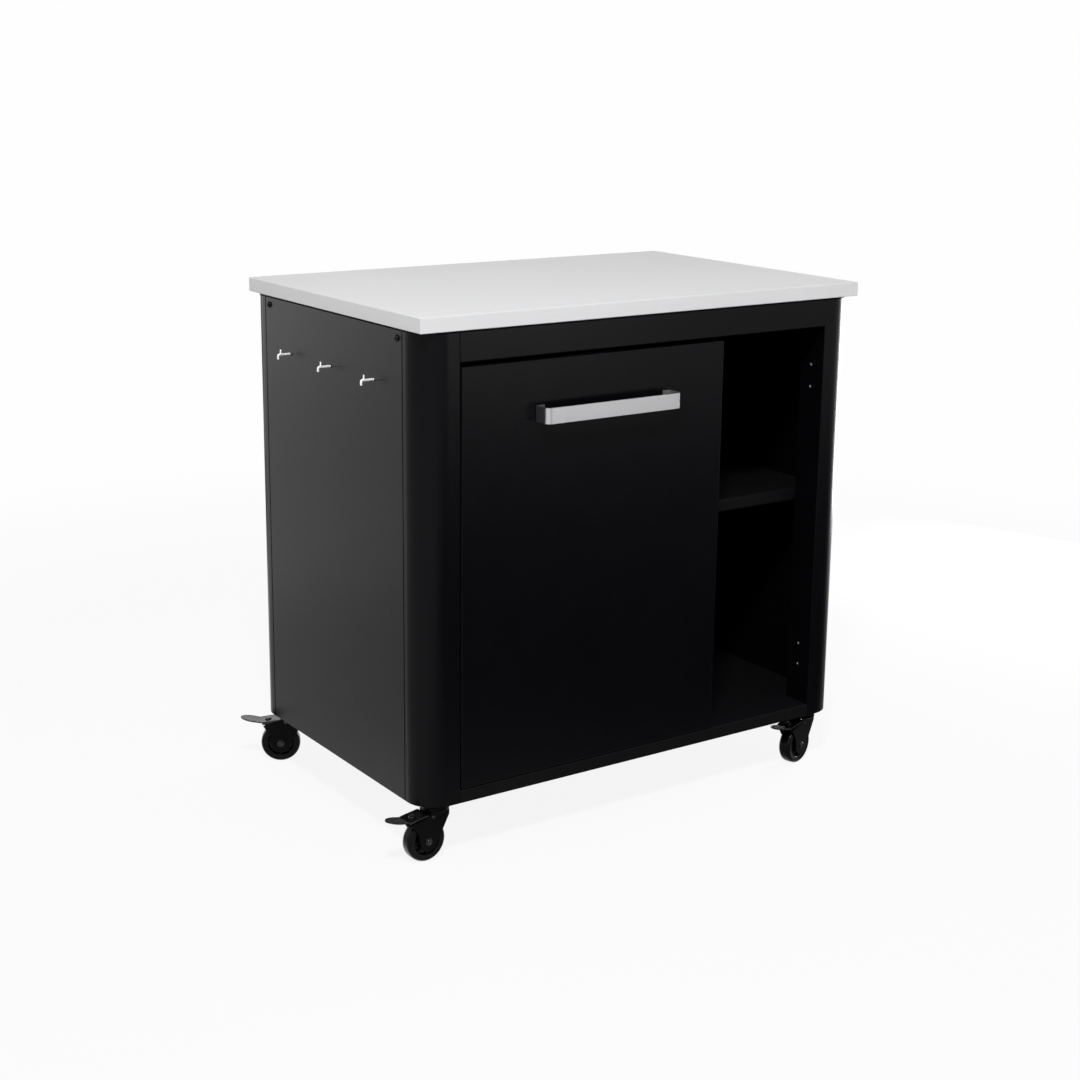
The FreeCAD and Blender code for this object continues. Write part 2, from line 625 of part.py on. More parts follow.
def slide_brackets():
    """Hat-shaped brackets that hold both outer members off the columns and the divider."""
    wall = -COLUMN_INNER
    thick = BRACKET_SHEET
    crown_low = SLIDE_MIDDLE_Z - BRACKET_CROWN / 2
    crown_high = SLIDE_MIDDLE_Z + BRACKET_CROWN / 2
    out = wall + STAND_OFF
    section = [(wall, BRACKET_BOTTOM, 0), (wall + thick, BRACKET_BOTTOM, 0),
               (wall + thick, crown_low - thick, 0),
               (out, crown_low - thick, 0), (out, crown_high + thick, 0),
               (wall + thick, crown_high + thick, 0), (wall + thick, BRACKET_TOP, 0), (wall, BRACKET_TOP, 0),
               (wall, crown_high, 0), (out - thick, crown_high, 0), (out - thick, crown_low, 0),
               (wall, crown_low, 0)]
    half = STAND_OFF_WIDTH / 2
    front = FRONT + BRACKET_FRONT_INSET
    behind_hem = DIVIDER_FRONT + HEM + half
    rear = REAR - BRACKET_REAR_INSET
    brackets = [prism_y(section, middle - half, middle + half) for middle in (front, rear)]
    brackets += [on_divider(prism_y(section, middle - half, middle + half)) for middle in (behind_hem, rear)]
    return Part.makeCompound(brackets)


# Casters. They are drawn with the swivel axis at X = 0 and the trail along +X, then turned into place.

def placed_caster(shape, corner):
    """Turn a caster piece to its heading and move it under its column."""
    placed = shape.copy()
    placed.rotate(Vector(0, 0, 0), Vector(0, 0, 1), CASTER_HEADINGS[corner])
    placed.translate(swivel_point(corner))
    return placed


def caster_stem():
    """Upper race with the bolt through the fork, which stay with the cabinet."""
    race_bottom = CASTER_HEIGHT - RACE_HEIGHT
    head_top = CROWN_BOTTOM - STEM_HEAD_PLAY
    stem = rod(RACE_RADIUS, Vector(0, 0, race_bottom), Vector(0, 0, CASTER_HEIGHT))
    stem = stem.fuse(rod(STEM_RADIUS, Vector(0, 0, head_top), Vector(0, 0, race_bottom)))
    head = hexagon(STEM_HEAD, Vector(0, 0, head_top), Vector(0, 0, STEM_HEAD_BOTTOM - head_top))
    return stem.fuse(head).removeSplitter()


def caster_stems():
    """The four races and bolts as separate solids."""
    stem = caster_stem()
    return Part.makeCompound([placed_caster(stem, corner) for corner in CASTER_HEADINGS])


def caster_fork():
    """Swivel fork: round crown, two tapered cheeks, the riveted axle and the pin of the brake."""
    crown = rod(CROWN_RADIUS, Vector(0, 0, CROWN_BOTTOM), Vector(0, 0, CROWN_TOP))
    crown = crown.cut(rod(STEM_RADIUS + STEM_PLAY, Vector(0, 0, 0), Vector(0, 0, CASTER_HEIGHT)))
    root = CROWN_BOTTOM + 1
    outline = [(CHEEK_BACK, root, 0), (CHEEK_BACK, CHEEK_SHOULDER_Z, 0), CHEEK_HEEL, CHEEK_TOE,
               CHEEK_THROAT, CHEEK_LUG, (CHEEK_FRONT, CHEEK_FRONT_Z, 0), (CHEEK_FRONT, root, 0)]
    fork = crown
    for side in (-1, 1):
        fork = fork.fuse(prism_y(outline, side * CHEEK_INNER, side * CHEEK_OUTER))
        rivet = Vector(TRAIL, side * CHEEK_OUTER, WHEEL_RADIUS)
        fork = fork.fuse(hexagon(AXLE_HEAD, rivet, Vector(0, side * AXLE_HEAD_HEIGHT, 0)))
    half = Vector(0, CHEEK_INNER, 0)
    axle = Vector(TRAIL, 0, WHEEL_RADIUS)
    pivot = Vector(BRAKE_PIVOT_A, 0, BRAKE_PIVOT_Z)
    fork = fork.fuse(rod(AXLE_RADIUS, axle - half, axle + half))
    fork = fork.fuse(rod(BRAKE_PIN_RADIUS, pivot - half, pivot + half))
    return fork.removeSplitter()


def caster_wheel():
    """Wheel with a plain bore."""
    half = Vector(0, WHEEL_HALF_WIDTH, 0)
    axle = Vector(TRAIL, 0, WHEEL_RADIUS)
    bore = rod(AXLE_RADIUS + AXLE_PLAY, axle - half, axle + half)
    return rod(WHEEL_RADIUS, axle - half, axle + half).cut(bore)


def shoe_height(a):
    """Height of the shoe's underside, which follows the wheel at an even gap."""
    return WHEEL_RADIUS + math.sqrt((WHEEL_RADIUS + SHOE_GAP) ** 2 - (a - TRAIL) ** 2)


def caster_brake():
    """Brake lever: barrel on the pin, sloping cover, narrow neck, rising leaf-shaped pedal and a shoe."""
    wide = BRAKE_HALF_WIDTH
    thick = BRAKE_SHEET
    side = [(BRAKE_FRONT, BRAKE_FRONT_Z, 0), (BRAKE_KNEE, BRAKE_KNEE_Z, 0), (BRAKE_TIP, BRAKE_TIP_Z, 0),
            (BRAKE_TIP, BRAKE_TIP_Z - thick, 0), (BRAKE_KNEE, BRAKE_KNEE_Z - thick, 0),
            (BRAKE_FRONT, BRAKE_FRONT_Z - thick, 0)]
    right = [(BRAKE_FRONT, wide, 0), (BRAKE_COVER_END, wide, 0), (BRAKE_NECK, BRAKE_NECK_HALF, 0),
             (BRAKE_LEAF, BRAKE_LEAF_HALF, 0), (BRAKE_TIP, BRAKE_TIP_HALF, BRAKE_TIP_RADIUS)]
    plan = right + [(a, -b, radius) for a, b, radius in reversed(right)]
    lever = prism_y(side, -wide, wide).common(prism_z(plan, 0, CASTER_HEIGHT))
    end = BRAKE_PIVOT_A - BRAKE_BARREL_RADIUS
    low = BRAKE_PIVOT_Z - BRAKE_BARREL_RADIUS
    high = BRAKE_PIVOT_Z + BRAKE_BARREL_RADIUS
    chamfer = BRAKE_BARREL_CHAMFER
    web_low = low + BRAKE_WEB_RISE
    web = [(end, low + chamfer, 0), (end + chamfer, low, 0), (BRAKE_WEB_END, web_low, 0),
           (BRAKE_WEB_END, web_low + BRAKE_WEB_THICKNESS, 0),
           (BRAKE_FRONT + thick, BRAKE_FRONT_Z - thick / 2, 0), (end + chamfer, high, 0),
           (end, high - chamfer, 0)]
    lever = lever.fuse(prism_y(web, -BRAKE_BARREL, BRAKE_BARREL))
    shoe = [(a, shoe_height(a), 0) for a in SHOE_SPAN]
    shoe += [(a, BRAKE_KNEE_Z, 0) for a in reversed(SHOE_SPAN)]
    lever = lever.fuse(prism_y(shoe, -SHOE_HALF_WIDTH, SHOE_HALF_WIDTH))
    pivot = Vector(BRAKE_PIVOT_A, -wide, BRAKE_PIVOT_Z)
    bore = rod(BRAKE_PIN_RADIUS + AXLE_PLAY, pivot, pivot + Vector(0, 2 * wide, 0))
    return lever.cut(bore).removeSplitter()


# Assembly

def cabinet_parts():
    """Node name and solid of each fixed piece."""
    parts = {
        "worktop": worktop(),
        "worktop_channels": worktop_channels(),
        "foot_plates": foot_plates(),
        "side_panel_left": mirrored_x(side_panel()),
        "side_panel_right": side_panel(),
        "back_panel": back_panel(),
        "front_rail": front_rail(),
        "floor_panel": floor_panel(),
        "divider_panel": divider_panel(),
        "shelf": shelf(),
        "shelf_brackets": shelf_brackets(),
        "tool_pegs": tool_pegs(),
        "slide_brackets": slide_brackets(),
        "slide_outer_left": slide_outer(),
        "slide_outer_right": on_divider(slide_outer()),
        "caster_stems": caster_stems(),
    }
    for corner in CASTER_HEADINGS:
        parts["column_" + corner] = at_corner(column(), corner)
    return parts


def pull_out_parts():
    """Node name and solid of each piece that slides with the pull-out."""
    return {
        "pull_out_front": pull_out_front(),
        "pull_out_liner": pull_out_liner(),
        "handle": handle(),
        "pull_out_tray": pull_out_tray(),
        "tray_gussets": tray_gussets(),
        "slide_middle_left": slide_middle(),
        "slide_middle_right": on_divider(slide_middle()),
        "slide_inner_left": slide_inner(),
        "slide_inner_right": on_divider(slide_inner()),
    }


def caster_parts():
    """Node name and solid of the moving pieces of each caster."""
    parts = {}
    pieces = {"fork": caster_fork(), "wheel": caster_wheel(), "brake": caster_brake()}
    for corner in CASTER_HEADINGS:
        for name, shape in pieces.items():
            parts["caster_" + name + "_" + corner] = placed_caster(shape, corner)
    return parts


def all_parts():
    """Every piece, moved so that the origin is the middle of the footprint, on the floor."""
    parts = cabinet_parts()
    parts.update(pull_out_parts())
    parts.update(caster_parts())
    extent = Part.makeCompound(list(parts.values())).BoundBox
    to_origin = Vector(-extent.Center.x, -extent.Center.y, -extent.ZMin)
    for shape in parts.values():
        shape.translate(to_origin)
    return parts, to_origin


def main():
    os.makedirs("parts", exist_ok=True)
    parts, to_origin = all_parts()
    for name, shape in parts.items():
        if not shape.isValid():
            print("invalid solid:", name)
        shape.exportStep("parts/" + name + ".step")
    print("pieces:", len(parts))
    print("cabinet middle is at", round(to_origin.x, 2), round(to_origin.y, 2))


main()
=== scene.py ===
"""Grill cart with storage: its dressed pieces, their finishes, the light and the camera."""

import json
import logging
import math
from dataclasses import dataclass, field
from enum import Enum
from functools import reduce
from operator import mul
from typing import Any, Callable

import bmesh
import bpy
from mathutils import Matrix, Vector

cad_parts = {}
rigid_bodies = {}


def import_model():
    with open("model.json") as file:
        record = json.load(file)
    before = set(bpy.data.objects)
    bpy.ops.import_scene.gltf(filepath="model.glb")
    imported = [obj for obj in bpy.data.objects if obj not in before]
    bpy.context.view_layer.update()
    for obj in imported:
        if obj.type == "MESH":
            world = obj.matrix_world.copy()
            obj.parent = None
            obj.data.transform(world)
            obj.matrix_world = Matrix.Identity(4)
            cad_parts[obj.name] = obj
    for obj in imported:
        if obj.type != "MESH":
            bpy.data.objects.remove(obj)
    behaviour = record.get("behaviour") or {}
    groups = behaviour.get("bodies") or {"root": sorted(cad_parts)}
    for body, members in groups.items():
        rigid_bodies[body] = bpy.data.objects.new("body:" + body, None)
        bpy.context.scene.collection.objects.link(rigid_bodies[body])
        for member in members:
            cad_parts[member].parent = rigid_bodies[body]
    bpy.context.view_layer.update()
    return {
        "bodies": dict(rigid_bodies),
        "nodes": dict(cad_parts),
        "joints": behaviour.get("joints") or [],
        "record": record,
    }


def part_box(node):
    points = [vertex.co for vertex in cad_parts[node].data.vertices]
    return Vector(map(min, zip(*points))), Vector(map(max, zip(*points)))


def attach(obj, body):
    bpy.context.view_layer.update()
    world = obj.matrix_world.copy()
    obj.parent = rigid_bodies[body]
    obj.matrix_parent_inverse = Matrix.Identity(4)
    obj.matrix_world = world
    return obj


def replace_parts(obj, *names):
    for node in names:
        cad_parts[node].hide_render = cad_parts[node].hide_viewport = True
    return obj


Colour = tuple[float, float, float]
Points = list[tuple[float, float]]

LOG = logging.getLogger("grill_cart")
MM = 0.001
SHEET = 1.5 * MM

# Distances in metres below which two places count as one, in general and in a turned shape
SAME_PLACE = 1e-6
SAME_TURNED = 1e-7

# Least share of a face's normal along an axis for a face that looks that way
LOOKING = 0.9

# Least angles in radians: of a sharply shaded edge, of an edge with a small round, and of a tray's fold
SHARP_ANGLE = math.radians(32.0)
ROUND_ANGLE = math.radians(40.0)
FOLD_ANGLE = 1.0

# Steps across a fold, and across one of at least the wide radius
FOLD_STEPS = 5
WIDE_FOLD = 12 * MM
WIDE_FOLD_STEPS = 28

# Clear film at a low angle: the blend of the angle's node, where the film starts and is full, its roughness
FILM_BLEND = 0.5
FILM_FROM = 0.40
FILM_TO = 0.64
FILM_ROUGHNESS = 0.28


# Shader graphs

class Signal:
    """A value on a node's output that can be used in plain arithmetic."""

    def __init__(self, graph: "Graph", socket: bpy.types.NodeSocket) -> None:
        """Keep the graph and the socket that carries the value."""
        self.graph = graph
        self.socket = socket

    def combine(self, operation: str, first: Any, second: Any, clamp: bool = False) -> "Signal":
        """Add a Math node.

        Args:
            operation: Name of the Math node's operation.
            first: Its first value, a number or a Signal.
            second: Its second value, a number or a Signal.
            clamp: Whether the result stays between 0 and 1.

        Returns:
            The result as a Signal.
        """
        settings = {"operation": operation, "use_clamp": clamp}
        return self.graph.node("ShaderNodeMath", settings, {0: first, 1: second})

    def __add__(self, other: Any) -> "Signal":
        """Sum."""
        return self.combine("ADD", self, other)

    def __radd__(self, other: Any) -> "Signal":
        """Sum with a number on the left."""
        return self.combine("ADD", other, self)

    def __sub__(self, other: Any) -> "Signal":
        """Difference."""
        return self.combine("SUBTRACT", self, other)

    def __rsub__(self, other: Any) -> "Signal":
        """Difference with a number on the left."""
        return self.combine("SUBTRACT", other, self)

    def __mul__(self, other: Any) -> "Signal":
        """Product."""
        return self.combine("MULTIPLY", self, other)

    def __rmul__(self, other: Any) -> "Signal":
        """Product with a number on the left."""
        return self.combine("MULTIPLY", other, self)

    def __truediv__(self, other: Any) -> "Signal":
        """Quotient."""
        return self.combine("DIVIDE", self, other)

    def clamped(self) -> "Signal":
        """The value held between 0 and 1."""
        return self.combine("ADD", self, 0.0, clamp=True)

    def swing(self) -> "Signal":
        """How far a noise is from its middle, below it or above it."""
        return self - 0.5

    def beside(self, name: str) -> "Signal":
        """Another output of the node that this value comes from."""
        return Signal(self.graph, self.socket.node.outputs[name])


class Graph:
    """A node tree and the nodes in it."""

    def __init__(self, tree: bpy.types.NodeTree) -> None:
        """Take a tree and empty it."""
        self.tree = tree
        self.tree.nodes.clear()

    def feed(self, socket: bpy.types.NodeSocket, value: Any) -> None:
        """Give a socket its value.

        Args:
            socket: The socket of a node.
            value: A Signal, which is linked, or a plain value.
        """
        if isinstance(value, Signal):
            self.tree.links.new(value.socket, socket)
        else:
            socket.default_value = value

    def node(self, kind: str, settings: dict[str, Any] | None = None, inputs: dict[Any, Any] | None = None,
             output: Any = 0, stops: Points | None = None) -> Signal:
        """Add any node.

        Args:
            kind: The node's type.
            settings: Its properties, which are set before its inputs.
            inputs: Its sockets, by name or number, with a number, a vector or a Signal each.
            output: The output that is handed back, by name or number.
            stops: Places and grey levels of a colour ramp.

        Returns:
            The chosen output as a Signal.
        """
        made = self.tree.nodes.new(kind)
        for name, value in (settings or {}).items():
            setattr(made, name, value)
        for index, (spot, level) in enumerate(stops or []):
            ramp = made.color_ramp.elements
            element = ramp[index] if index < len(ramp) else ramp.new(spot)
            element.position = spot
            element.color = (level, level, level, 1.0)
        for name, value in (inputs or {}).items():
            self.feed(made.inputs[name], value)
        return Signal(self, made.outputs[output])

    def show(self, kind: str, shader: Signal) -> None:
        """Add an output node of a kind and send it a shader."""
        self.feed(self.tree.nodes.new(kind).inputs["Surface"], shader)

    def background_share(self) -> Signal:
        """Tell the rays that see the plain background from those that carry light.

        Returns:
            1 for straight, mirrored and passed rays, and 0 for the others.
        """
        straight = self.node("ShaderNodeLightPath", output="Is Camera Ray")
        mirrored_too = straight + straight.beside("Is Glossy Ray")
        return (mirrored_too + straight.beside("Is Transmission Ray")).clamped()

    def mixed(self, share: Any, first: Signal, second: Signal) -> Signal:
        """Mix two shaders."""
        return self.node("ShaderNodeMixShader", None, {0: share, 1: first, 2: second})


@dataclass(frozen=True)
class Grain:
    """Noise of one size: the distance between its lumps, its detail and that detail's roughness."""
    pitch: float
    detail: float = 2.0
    rough: float = 0.5


@dataclass(frozen=True)
class Flag:
    """Round dark patch on the floor that only mirrored rays see, like a black card beside a product."""
    spot: tuple[float, float]
    inner: float
    outer: float
    left: float = 0.0


class Surface(Graph):
    """A material's graph, with its surface shader and the place on the piece."""

    def __init__(self, name: str) -> None:
        """Start a material with nothing but its surface shader.

        Args:
            name: The material's name.
        """
        self.material = bpy.data.materials.new(name)
        self.material.use_nodes = True
        super().__init__(self.material.node_tree)
        self.shader = self.node("ShaderNodeBsdfPrincipled")
        self.place = self.node("ShaderNodeTexCoord", output="Object")

    def stretched(self, scale: tuple[float, float, float]) -> Signal:
        """Object coordinates scaled along each axis."""
        inputs = {"Vector": self.place, "Scale": scale}
        return self.node("ShaderNodeMapping", {"vector_type": "POINT"}, inputs)

    def noise(self, grain: Grain, where: Signal | None = None) -> Signal:
        """Make noise from 0 to 1.

        Args:
            grain: Its size and detail.
            where: The place that it is read at, which is the place on the piece unless it is given.

        Returns:
            The noise as a Signal.
        """
        inputs = {"Vector": where or self.place, "Scale": 1.0 / grain.pitch, "Detail": grain.detail,
                  "Roughness": grain.rough}
        return self.node("ShaderNodeTexNoise", {"noise_dimensions": "3D"}, inputs, "Fac")

    def ramp(self, value: Signal, low: float, high: float) -> Signal:
        """The value spread so that low becomes 0 and high becomes 1."""
        stops = [(low, 0.0), (high, 1.0)]
        return self.node("ShaderNodeValToRGB", None, {"Fac": value}, "Color", stops)

    def blend(self, factor: Any, first: Colour, second: Colour) -> Signal:
        """Mix two colours."""
        inputs = {0: factor, 6: (*first, 1.0), 7: (*second, 1.0)}
        return self.node("ShaderNodeMix", {"data_type": "RGBA"}, inputs, 2)

    def bump(self, height: Signal, depth: float) -> Signal:
        """Normal of a surface whose relief is depth metres high."""
        return self.node("ShaderNodeBump", None, {"Height": height, "Distance": depth, "Strength": 1.0})

    def fade(self, spot: tuple[float, float], start: float, end: float, near: float) -> Signal:
        """Make a share that grows with the distance from a spot on the ground.

        Args:
            spot: The spot's X and Y.
            start: Distance up to which the share is lowest.
            end: Distance from which the share is 1.
            near: The lowest share.

        Returns:
            The share as a Signal.
        """
        inputs = {0: self.place, 1: (*spot, 0.0)}
        away = self.node("ShaderNodeVectorMath", {"operation": "DISTANCE"}, inputs, "Value")
        inputs = {"Value": away, "From Min": start, "From Max": end, "To Min": near, "To Max": 1.0}
        return self.node("ShaderNodeMapRange", {"interpolation_type": "SMOOTHSTEP"}, inputs)

    def combined_flags(self, flags: tuple[Flag, ...]) -> Signal:
        """The share of the floor's light that all dark flags leave, from 0 to 1."""
        shares = [self.fade(flag.spot, flag.inner, flag.outer, flag.left) for flag in flags]
        return reduce(mul, shares)

    def edge_film(self, amount: float) -> dict[str, Any]:
        """Sockets of a clear film that shows where the surface is seen at a low angle.

        Args:
            amount: Weight of the film at the edge.

        Returns:
            Socket names with their values.
        """
        facing = self.node("ShaderNodeLayerWeight", None, {"Blend": FILM_BLEND}, "Facing")
        inputs = {"Value": facing, "From Min": FILM_FROM, "From Max": FILM_TO, "To Max": amount}
        weight = self.node("ShaderNodeMapRange", {"interpolation_type": "SMOOTHSTEP"}, inputs)
        return {"Coat Weight": weight, "Coat Roughness": FILM_ROUGHNESS}

    def finish(self, sockets: dict[str, Any]) -> bpy.types.Material:
        """Feed the surface shader's sockets and send it to the output.

        Args:
            sockets: Socket names with a number, a colour or a Signal each.

        Returns:
            The finished material.
        """
        self.dress(sockets)
        self.show("ShaderNodeOutputMaterial", self.shader)
        return self.material

    def dress(self, sockets: dict[str, Any]) -> None:
        """Feed the surface shader's sockets.

        Args:
            sockets: Socket names with a number, a colour or a Signal each.
        """
        for name, value in sockets.items():
            if isinstance(value, tuple) and len(value) == 3:
                value = (*value, 1.0)
            self.feed(self.shader.socket.node.inputs[name], value)


# Finishes

@dataclass(frozen=True)
class Finish:
    """What every finish has: a name, the record's slot, and a colour with its gloss."""
    name: str
    slot: str
    colour: Colour
    roughness: float

    def build(self, graph: Surface) -> dict[str, Any]:
        """Work out the surface shader's sockets, which each kind of finish does in its own way."""
        raise NotImplementedError

    def material(self) -> bpy.types.Material:
        """Make the material, or find it where a piece already has it.

        Returns:
            The material, which every piece with this finish shares.
        """
        found = bpy.data.materials.get(self.name)
        if found is None:
            graph = Surface(self.name)
            found = graph.finish(self.build(graph))
        return found


@dataclass(frozen=True)
class PowderCoat(Finish):
    """Sprayed and baked coat with a fine even grain and a little dust."""
    dust: Colour
    specular: float
    dust_amount: float = 0.12
    edge: float = 0.0
    fine: Grain = Grain(0.9 * MM, 3.0, 0.6)
    broad: Grain = Grain(60 * MM, 3.0, 0.55)
    cloud: Grain = Grain(170 * MM, 4.0, 0.6)
    cloud_span: tuple[float, float] = (0.35, 0.75)
    fine_gloss: float = 0.05
    broad_gloss: float = 0.07
    coarse_size: float = 4.0
    coarse_share: float = 0.35
    relief: float = 0.012 * MM

    def build(self, graph: Surface) -> dict[str, Any]:
        """Work out the surface shader's sockets for this coat.

        Args:
            graph: The material's graph.

        Returns:
            Socket names with their values.
        """
        fine = graph.noise(self.fine)
        broad = graph.noise(self.broad)
        cloud = graph.ramp(graph.noise(self.cloud), *self.cloud_span)
        colour = graph.blend(cloud * self.dust_amount, self.colour, self.dust)
        roughness = self.roughness + self.fine_gloss * fine.swing() + self.broad_gloss * broad.swing()
        height = fine + self.coarse_share * graph.noise(Grain(self.coarse_size * self.fine.pitch))
        return {"Base Color": colour, "Roughness": roughness.clamped(), "Specular IOR Level": self.specular,
                "Normal": graph.bump(height, self.relief), **graph.edge_film(self.edge)}


@dataclass(frozen=True)
class BrushedSteel(Finish):
    """Bare steel with fine straight lines along one axis."""
    along: tuple[float, float, float] = (12.0, 900.0, 2600.0)
    band_scale: float = 0.12
    line_grain: Grain = Grain(1.0, 2.0, 0.6)
    band_grain: Grain = Grain(1.0, 1.0, 0.5)
    smudge_grain: Grain = Grain(35 * MM, 3.0, 0.6)
    line_share: float = 0.7
    band_share: float = 0.3
    line_gloss: float = 0.14
    smudge_gloss: float = 0.06
    darkest: float = 0.80
    relief: float = 0.006 * MM

    def build(self, graph: Surface) -> dict[str, Any]:
        """Work out the surface shader's sockets for this steel.

        Args:
            graph: The material's graph.

        Returns:
            Socket names with their values.
        """
        wide = tuple(self.band_scale * value for value in self.along)
        lines = graph.noise(self.line_grain, graph.stretched(self.along))
        bands = graph.noise(self.band_grain, graph.stretched(wide))
        smudge = graph.noise(self.smudge_grain)
        darker = tuple(self.darkest * level for level in self.colour)
        light = (self.line_share * lines + self.band_share * bands).clamped()
        colour = graph.blend(light, darker, self.colour)
        roughness = self.roughness + self.line_gloss * lines.swing() + self.smudge_gloss * smudge.swing()
        return {"Base Color": colour, "Metallic": 1.0, "Roughness": roughness.clamped(),
                "Normal": graph.bump(lines, self.relief)}


@dataclass(frozen=True)
class PolishedChrome(Finish):
    """Bright satin plating with the faintest waviness."""
    metallic: float
    haze_grain: Grain = Grain(3 * MM)
    haze_gloss: float = 0.04
    relief: float = 0.004 * MM

    def build(self, graph: Surface) -> dict[str, Any]:
        """Work out the surface shader's sockets for this plating.

        Args:
            graph: The material's graph.

        Returns:
            Socket names with their values.
        """
        haze = graph.noise(self.haze_grain)
        roughness = self.roughness + self.haze_gloss * haze
        return {"Base Color": self.colour, "Metallic": self.metallic, "Roughness": roughness,
                "Normal": graph.bump(haze, self.relief)}


@dataclass(frozen=True)
class ZincPlate(Finish):
    """Zinc-plated steel: cool grey with soft spangle and cloudy gloss."""
    spangle_pitch: float = 5 * MM
    cloud_grain: Grain = Grain(25 * MM, 3.0, 0.6)
    frost_grain: Grain = Grain(0.7 * MM)
    spangle_share: float = 0.5
    cloud_share: float = 0.5
    cloud_gloss: float = 0.15
    spangle_gloss: float = 0.06
    darkest: float = 0.72
    relief: float = 0.006 * MM

    def build(self, graph: Surface) -> dict[str, Any]:
        """Work out the surface shader's sockets for this plating.

        Args:
            graph: The material's graph.

        Returns:
            Socket names with their values.
        """
        inputs = {"Vector": graph.place, "Scale": 1.0 / self.spangle_pitch}
        spangle = graph.node("ShaderNodeTexVoronoi", {"feature": "F1"}, inputs, "Color")
        cloud = graph.noise(self.cloud_grain)
        level = graph.node("ShaderNodeRGBToBW", None, {0: spangle})
        darker = tuple(self.darkest * value for value in self.colour)
        light = (self.spangle_share * level + self.cloud_share * cloud).clamped()
        colour = graph.blend(light, darker, self.colour)
        roughness = self.roughness + self.cloud_gloss * cloud.swing() + self.spangle_gloss * level.swing()
        return {"Base Color": colour, "Metallic": 1.0, "Roughness": roughness.clamped(),
                "Normal": graph.bump(graph.noise(self.frost_grain), self.relief)}


@dataclass(frozen=True)
class MouldedPlastic(Finish):
    """Moulded plastic or rubber with a fine grain and a little road dust low down, also the black strip that
    paints a shadow line.
    """
    dust: Colour
    specular: float
    edge: float = 0.0
    fine: Grain = Grain(0.5 * MM, 2.0, 0.6)
    patch_grain: Grain = Grain(9 * MM, 4.0, 0.65)
    patch_span: tuple[float, float] = (0.35, 0.8)
    dust_height: float = 12 * MM
    low_dust: float = 0.5
    high_dust: float = 0.10
    fine_gloss: float = 0.10
    patch_gloss: float = 0.10
    relief: float = 0.02 * MM

    def build(self, graph: Surface) -> dict[str, Any]:
        """Work out the surface shader's sockets for this plastic.

        Args:
            graph: The material's graph.

        Returns:
            Socket names with their values.
        """
        fine = graph.noise(self.fine)
        patches = graph.noise(self.patch_grain)
        height = graph.node("ShaderNodeSeparateXYZ", None, {0: graph.place}, "Z")
        low = (1.0 - height / self.dust_height).clamped()
        dusty = (low * self.low_dust + self.high_dust) * graph.ramp(patches, *self.patch_span)
        colour = graph.blend(dusty.clamped(), self.colour, self.dust)
        roughness = self.roughness + self.fine_gloss * fine.swing() + self.patch_gloss * patches.swing()
        return {"Base Color": colour, "Roughness": roughness.clamped(), "Specular IOR Level": self.specular,
                "Normal": graph.bump(fine, self.relief), **graph.edge_film(self.edge)}


WORKTOP_COAT = PowderCoat("worktop_light_grey_coat", "worktop_paint", (0.70, 0.70, 0.71), 0.50,
                          dust=(0.63, 0.63, 0.63), dust_amount=0.2, specular=0.08)
CABINET_COAT = PowderCoat("cabinet_black_coat", "black_paint", (0.0018, 0.0018, 0.0026), 0.26,
                          dust=(0.003, 0.003, 0.0036), dust_amount=0.25, specular=0.09, edge=0.25)
INSIDE_COAT = PowderCoat("cabinet_inside_black_coat", "black_paint", (0.0046, 0.0046, 0.0054), 0.40,
                         dust=(0.008, 0.008, 0.0084), dust_amount=0.25, specular=0.05, edge=0.2)
HANDLE_STEEL = BrushedSteel("handle_brushed_steel", "brushed_handle", (0.61, 0.61, 0.62), 0.34)
PEG_CHROME = PolishedChrome("peg_satin_chrome", "peg_chrome", (0.94, 0.94, 0.95), 0.26, metallic=0.3)
SLIDE_ZINC = ZincPlate("slide_zinc_plate", "zinc_steel", (0.56, 0.58, 0.62), 0.36)
SCREW_ZINC = ZincPlate("screw_zinc_plate", "zinc_steel", (0.70, 0.71, 0.74), 0.24)
AXLE_STEEL = ZincPlate("axle_blackened_steel", "zinc_steel", (0.05, 0.05, 0.052), 0.26)
SCREW_BLACK = PowderCoat("screw_black_coat", "black_paint", (0.0018, 0.0018, 0.0024), 0.20,
                         fine=Grain(0.3 * MM, 3.0, 0.6), dust=(0.004, 0.004, 0.004), specular=0.14)
# Black strip under the worktop's edge that paints the shadow line in the gap between the top and the cabinet
SHADOW_STRIP_BLACK = MouldedPlastic("worktop_shadow_strip_black", "black_paint", (0.0015, 0.0015, 0.0018), 0.8,
                            specular=0.02, dust=(0.004, 0.004, 0.004))
CASTER_COAT = PowderCoat("caster_black_coat", "caster_paint", (0.0014, 0.0014, 0.0018), 0.20,
                         fine=Grain(0.5 * MM, 3.0, 0.6), dust=(0.003, 0.003, 0.003), dust_amount=0.2,
                         specular=0.06, edge=0.25)
TYRE_RUBBER = MouldedPlastic("tyre_black_rubber", "wheel_plastic", (0.0022, 0.0022, 0.0026), 0.24,
                             specular=0.10, dust=(0.012, 0.0115, 0.011), edge=0.9)
HUB_PLASTIC = MouldedPlastic("hub_black_plastic", "wheel_plastic", (0.0014, 0.0014, 0.0018), 0.24,
                             specular=0.12, dust=(0.006, 0.006, 0.0055), edge=0.5)
BRAKE_PLASTIC = MouldedPlastic("brake_black_plastic", "brake_plastic", (0.0022, 0.0022, 0.0026), 0.20,
                               specular=0.45, dust=(0.012, 0.0115, 0.011), edge=0.3)


# Points and places

def in_mm(*points: tuple[float, float], start: tuple[float, float] = (0.0, 0.0)) -> Points:
    """Points given in millimetres from a start that is given in metres, as metres."""
    return [(start[0] + first * MM, start[1] + second * MM) for first, second in points]


def mirrored(points: Points) -> Points:
    """The points, and after them their mirror images in reverse order."""
    return points + [(first, -second) for first, second in reversed(points)]


